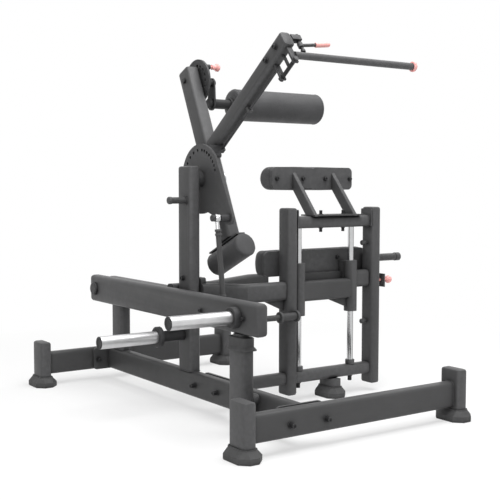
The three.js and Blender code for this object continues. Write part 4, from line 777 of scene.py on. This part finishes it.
# Bolts of the frame: black zinc too, with washers. Each drawn head gets a skin with a real hexagon
# socket, and the heads are found in the solids by the size of their flat round ends.
def round_ends(part, radius):
    fewest_sides = 8
    uneven, off_size = 0.0004, 0.0003
    mesh = bmesh.new()
    mesh.from_mesh(part.data)
    bmesh.ops.remove_doubles(mesh, verts=mesh.verts, dist=same_point)
    bmesh.ops.dissolve_limit(mesh, angle_limit=0.01, verts=mesh.verts, edges=mesh.edges)
    found = []
    for face in mesh.faces:
        middle = face.calc_center_median()
        reach = [(corner.co - middle).length for corner in face.verts]
        is_round = len(reach) >= fewest_sides and max(reach) - min(reach) < uneven
        if is_round and abs(max(reach) - radius) < off_size:
            found.append((middle, face.normal.copy()))
    mesh.free()
    return found


bolt_radius, bolt_washer = 0.0085, 0.0124
skin, foot_gap, skin_height = 0.0004, 0.0003, 0.0027
for node, body, length, size in (
    ("front_rail", "frame", 0.020, 1.0),
    ("rear_rail", "frame", 0.020, 1.0),
    ("central_beam", "frame", 0.020, 1.0),
    ("column", "frame", 0.010, 1.0),
    ("base_cross_tube_right", "frame", 0.020, 1.0),
    ("top_cross_tube", "frame", 0.015, 0.75),
    ("chest_pad_frame", "frame", 0.015, 0.75),
    ("weight_lever", "weight_lever", 0.010, 0.75),
    ("handle_arm", "arm", 0.010, 1.0),
):
    mesh = bmesh.new()
    for place, normal in round_ends(frame["nodes"][node], bolt_radius * size):
        socket_bolt(
            mesh, place, normal, washer=bolt_washer * size, head=bolt_radius * size + skin,
            foot=foot_gap - length, height=skin_height,
        )
    smooth(mesh_piece(f"{node}_bolt_skins", mesh, zinc, body))

# Sleeve plugs: a black moulded plug is pushed into the open end of each plate sleeve, with a
# rounded rim and ribs that run out from a sunk middle.
plug_profile = (
    (0.0, -0.0055), (0.0213, -0.0055), (0.0213, 0.0003), (0.0246, 0.0003), (0.0249, 0.0012),
    (0.0240, 0.0028), (0.0226, 0.0032), (0.0216, 0.0022), (0.0150, 0.0022), (0.0140, 0.0014),
    (0.0, 0.0014),
)
plug_ribs = 16
rib_half_width = 0.0012
rib_rises, rib_reaches = (0.0015, 0.0034), (0.0158, 0.0208)
for node, body in (("weight_sleeve", "weight_lever"), ("storage_sleeve", "frame")):
    low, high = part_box(node)
    middle = (low + high) / 2
    tip = Vector((low.x, middle.y, middle.z))
    mesh = bmesh.new()
    turned_onto(mesh, tip, (-1, 0, 0), plug_profile, sides=40)
    for step in range(plug_ribs):
        turn = 2 * math.pi * step / plug_ribs
        out = Vector((0, math.cos(turn), math.sin(turn)))
        across = Vector((0, -math.sin(turn), math.cos(turn)))
        a, b, c, d, e, f, g, h = [
            mesh.verts.new(tip + Vector((-rise, 0, 0)) + out * reach + across * half)
            for rise in rib_rises for reach in rib_reaches
            for half in (-rib_half_width, rib_half_width)
        ]
        for ring in (
            (a, b, d, c), (e, g, h, f), (a, e, f, b), (c, d, h, g), (a, c, g, e), (b, f, h, d),
        ):
            mesh.faces.new(ring)
    bmesh.ops.recalc_face_normals(mesh, faces=mesh.faces)
    smooth(mesh_piece(f"{node}_plug", mesh, zinc, body))

# Top tube: a painted steel plate with cut corners ends the tube against each upright. Its outline
# is measured from the middle line of the standing frame and the underside of the tube.
stand_y = post.y + 0.588
top_tube_bottom = 0.725
plate_outline = (
    (-0.034, 0.006), (-0.030, 0.002), (0.030, 0.002), (0.034, 0.006),
    (0.034, 0.074), (0.030, 0.078), (-0.030, 0.078), (-0.034, 0.074),
)
plate_gap, plate_face = 0.0003, 0.0055
tube_low, tube_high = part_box("top_cross_tube")
for name, x, outward in (("left", tube_low.x, 1), ("right", tube_high.x, -1)):
    mesh = bmesh.new()
    near, far = [
        [mesh.verts.new((x + outward * off, stand_y + y, top_tube_bottom + z))
         for y, z in plate_outline]
        for off in (plate_gap, plate_face)
    ]
    mesh.faces.new(near)
    mesh.faces.new(far[::-1])
    bridge(mesh, near, far)
    bmesh.ops.recalc_face_normals(mesh, faces=mesh.faces)
    smooth(mesh_piece(f"top_tube_{name}_end_plate", mesh, coat, "frame"))


# Welds: rippled steel beads under the frame's coat, round the tubes where they are joined. They are
# at the rails' posts, the foot of the column, the ends of the top tube and the feet of the chest
# pad's arms.
def weld_bead(mesh, middle, across, up, half_across, half_up, corner=0.014, radius=0.0024):
    bead_sides, ripple, spacing = 6, 0.78, 0.0035
    across, up = Vector(across), Vector(up)
    facing = across.cross(up)
    spaced = rounded_loop(
        Vector(middle), across, up, half_across, half_up, corner, steps=4, spacing=spacing,
    )
    count = len(spaced)
    rings = []
    for i, place in enumerate(spaced):
        run = (spaced[(i + 1) % count] - spaced[i - 1]).normalized()
        out = run.cross(facing)
        thick = radius * (1.0 if i % 2 else ripple)
        rings.append([
            mesh.verts.new(place + (out * math.cos(turn) + facing * math.sin(turn)) * thick)
            for turn in (2 * math.pi * k / bead_sides for k in range(bead_sides))
        ])
    for i in range(count):
        bridge(mesh, rings[i], rings[(i + 1) % count])


tube_half, tube_half_height, cross_half = 0.025, 0.050, 0.025
along_x, along_y, along_z = (1, 0, 0), (0, 1, 0), (0, 0, 1)
rail_middle = 0.101
post_face = tube_half + 0.0005
beads = bmesh.new()
for rail_y, left_post, right_post in ((0.0, 0.0, 0.990), (1.485, -0.080, 0.890)):
    for x in (left_post + post_face, right_post - post_face):
        place = (post.x + x, post.y + rail_y, rail_middle)
        weld_bead(beads, place, along_y, along_z, tube_half, tube_half_height)
column_foot = (post.x + 0.257, post.y + 0.762, 0.1515)
weld_bead(beads, column_foot, along_x, along_y, tube_half, tube_half_height)
end_inset = 0.006
for x in (tube_low.x + end_inset, tube_high.x - end_inset):
    place = (x, stand_y, top_tube_bottom + cross_half)
    weld_bead(beads, place, along_y, along_z, cross_half, cross_half)
arm_half, arm_half_depth = 0.0095, 0.030
arm_xs, arm_foot = (0.7445, 0.9595), 0.7813
arm_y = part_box("chest_pad_frame")[0].y + 0.038
for x in arm_xs:
    weld_bead(
        beads, (post.x + x, arm_y, arm_foot), along_x, along_y,
        arm_half, arm_half_depth, corner=0.005, radius=0.0018,
    )
bmesh.ops.recalc_face_normals(beads, faces=beads.faces)
mesh_piece("frame_weld_beads", beads, coat, "frame")
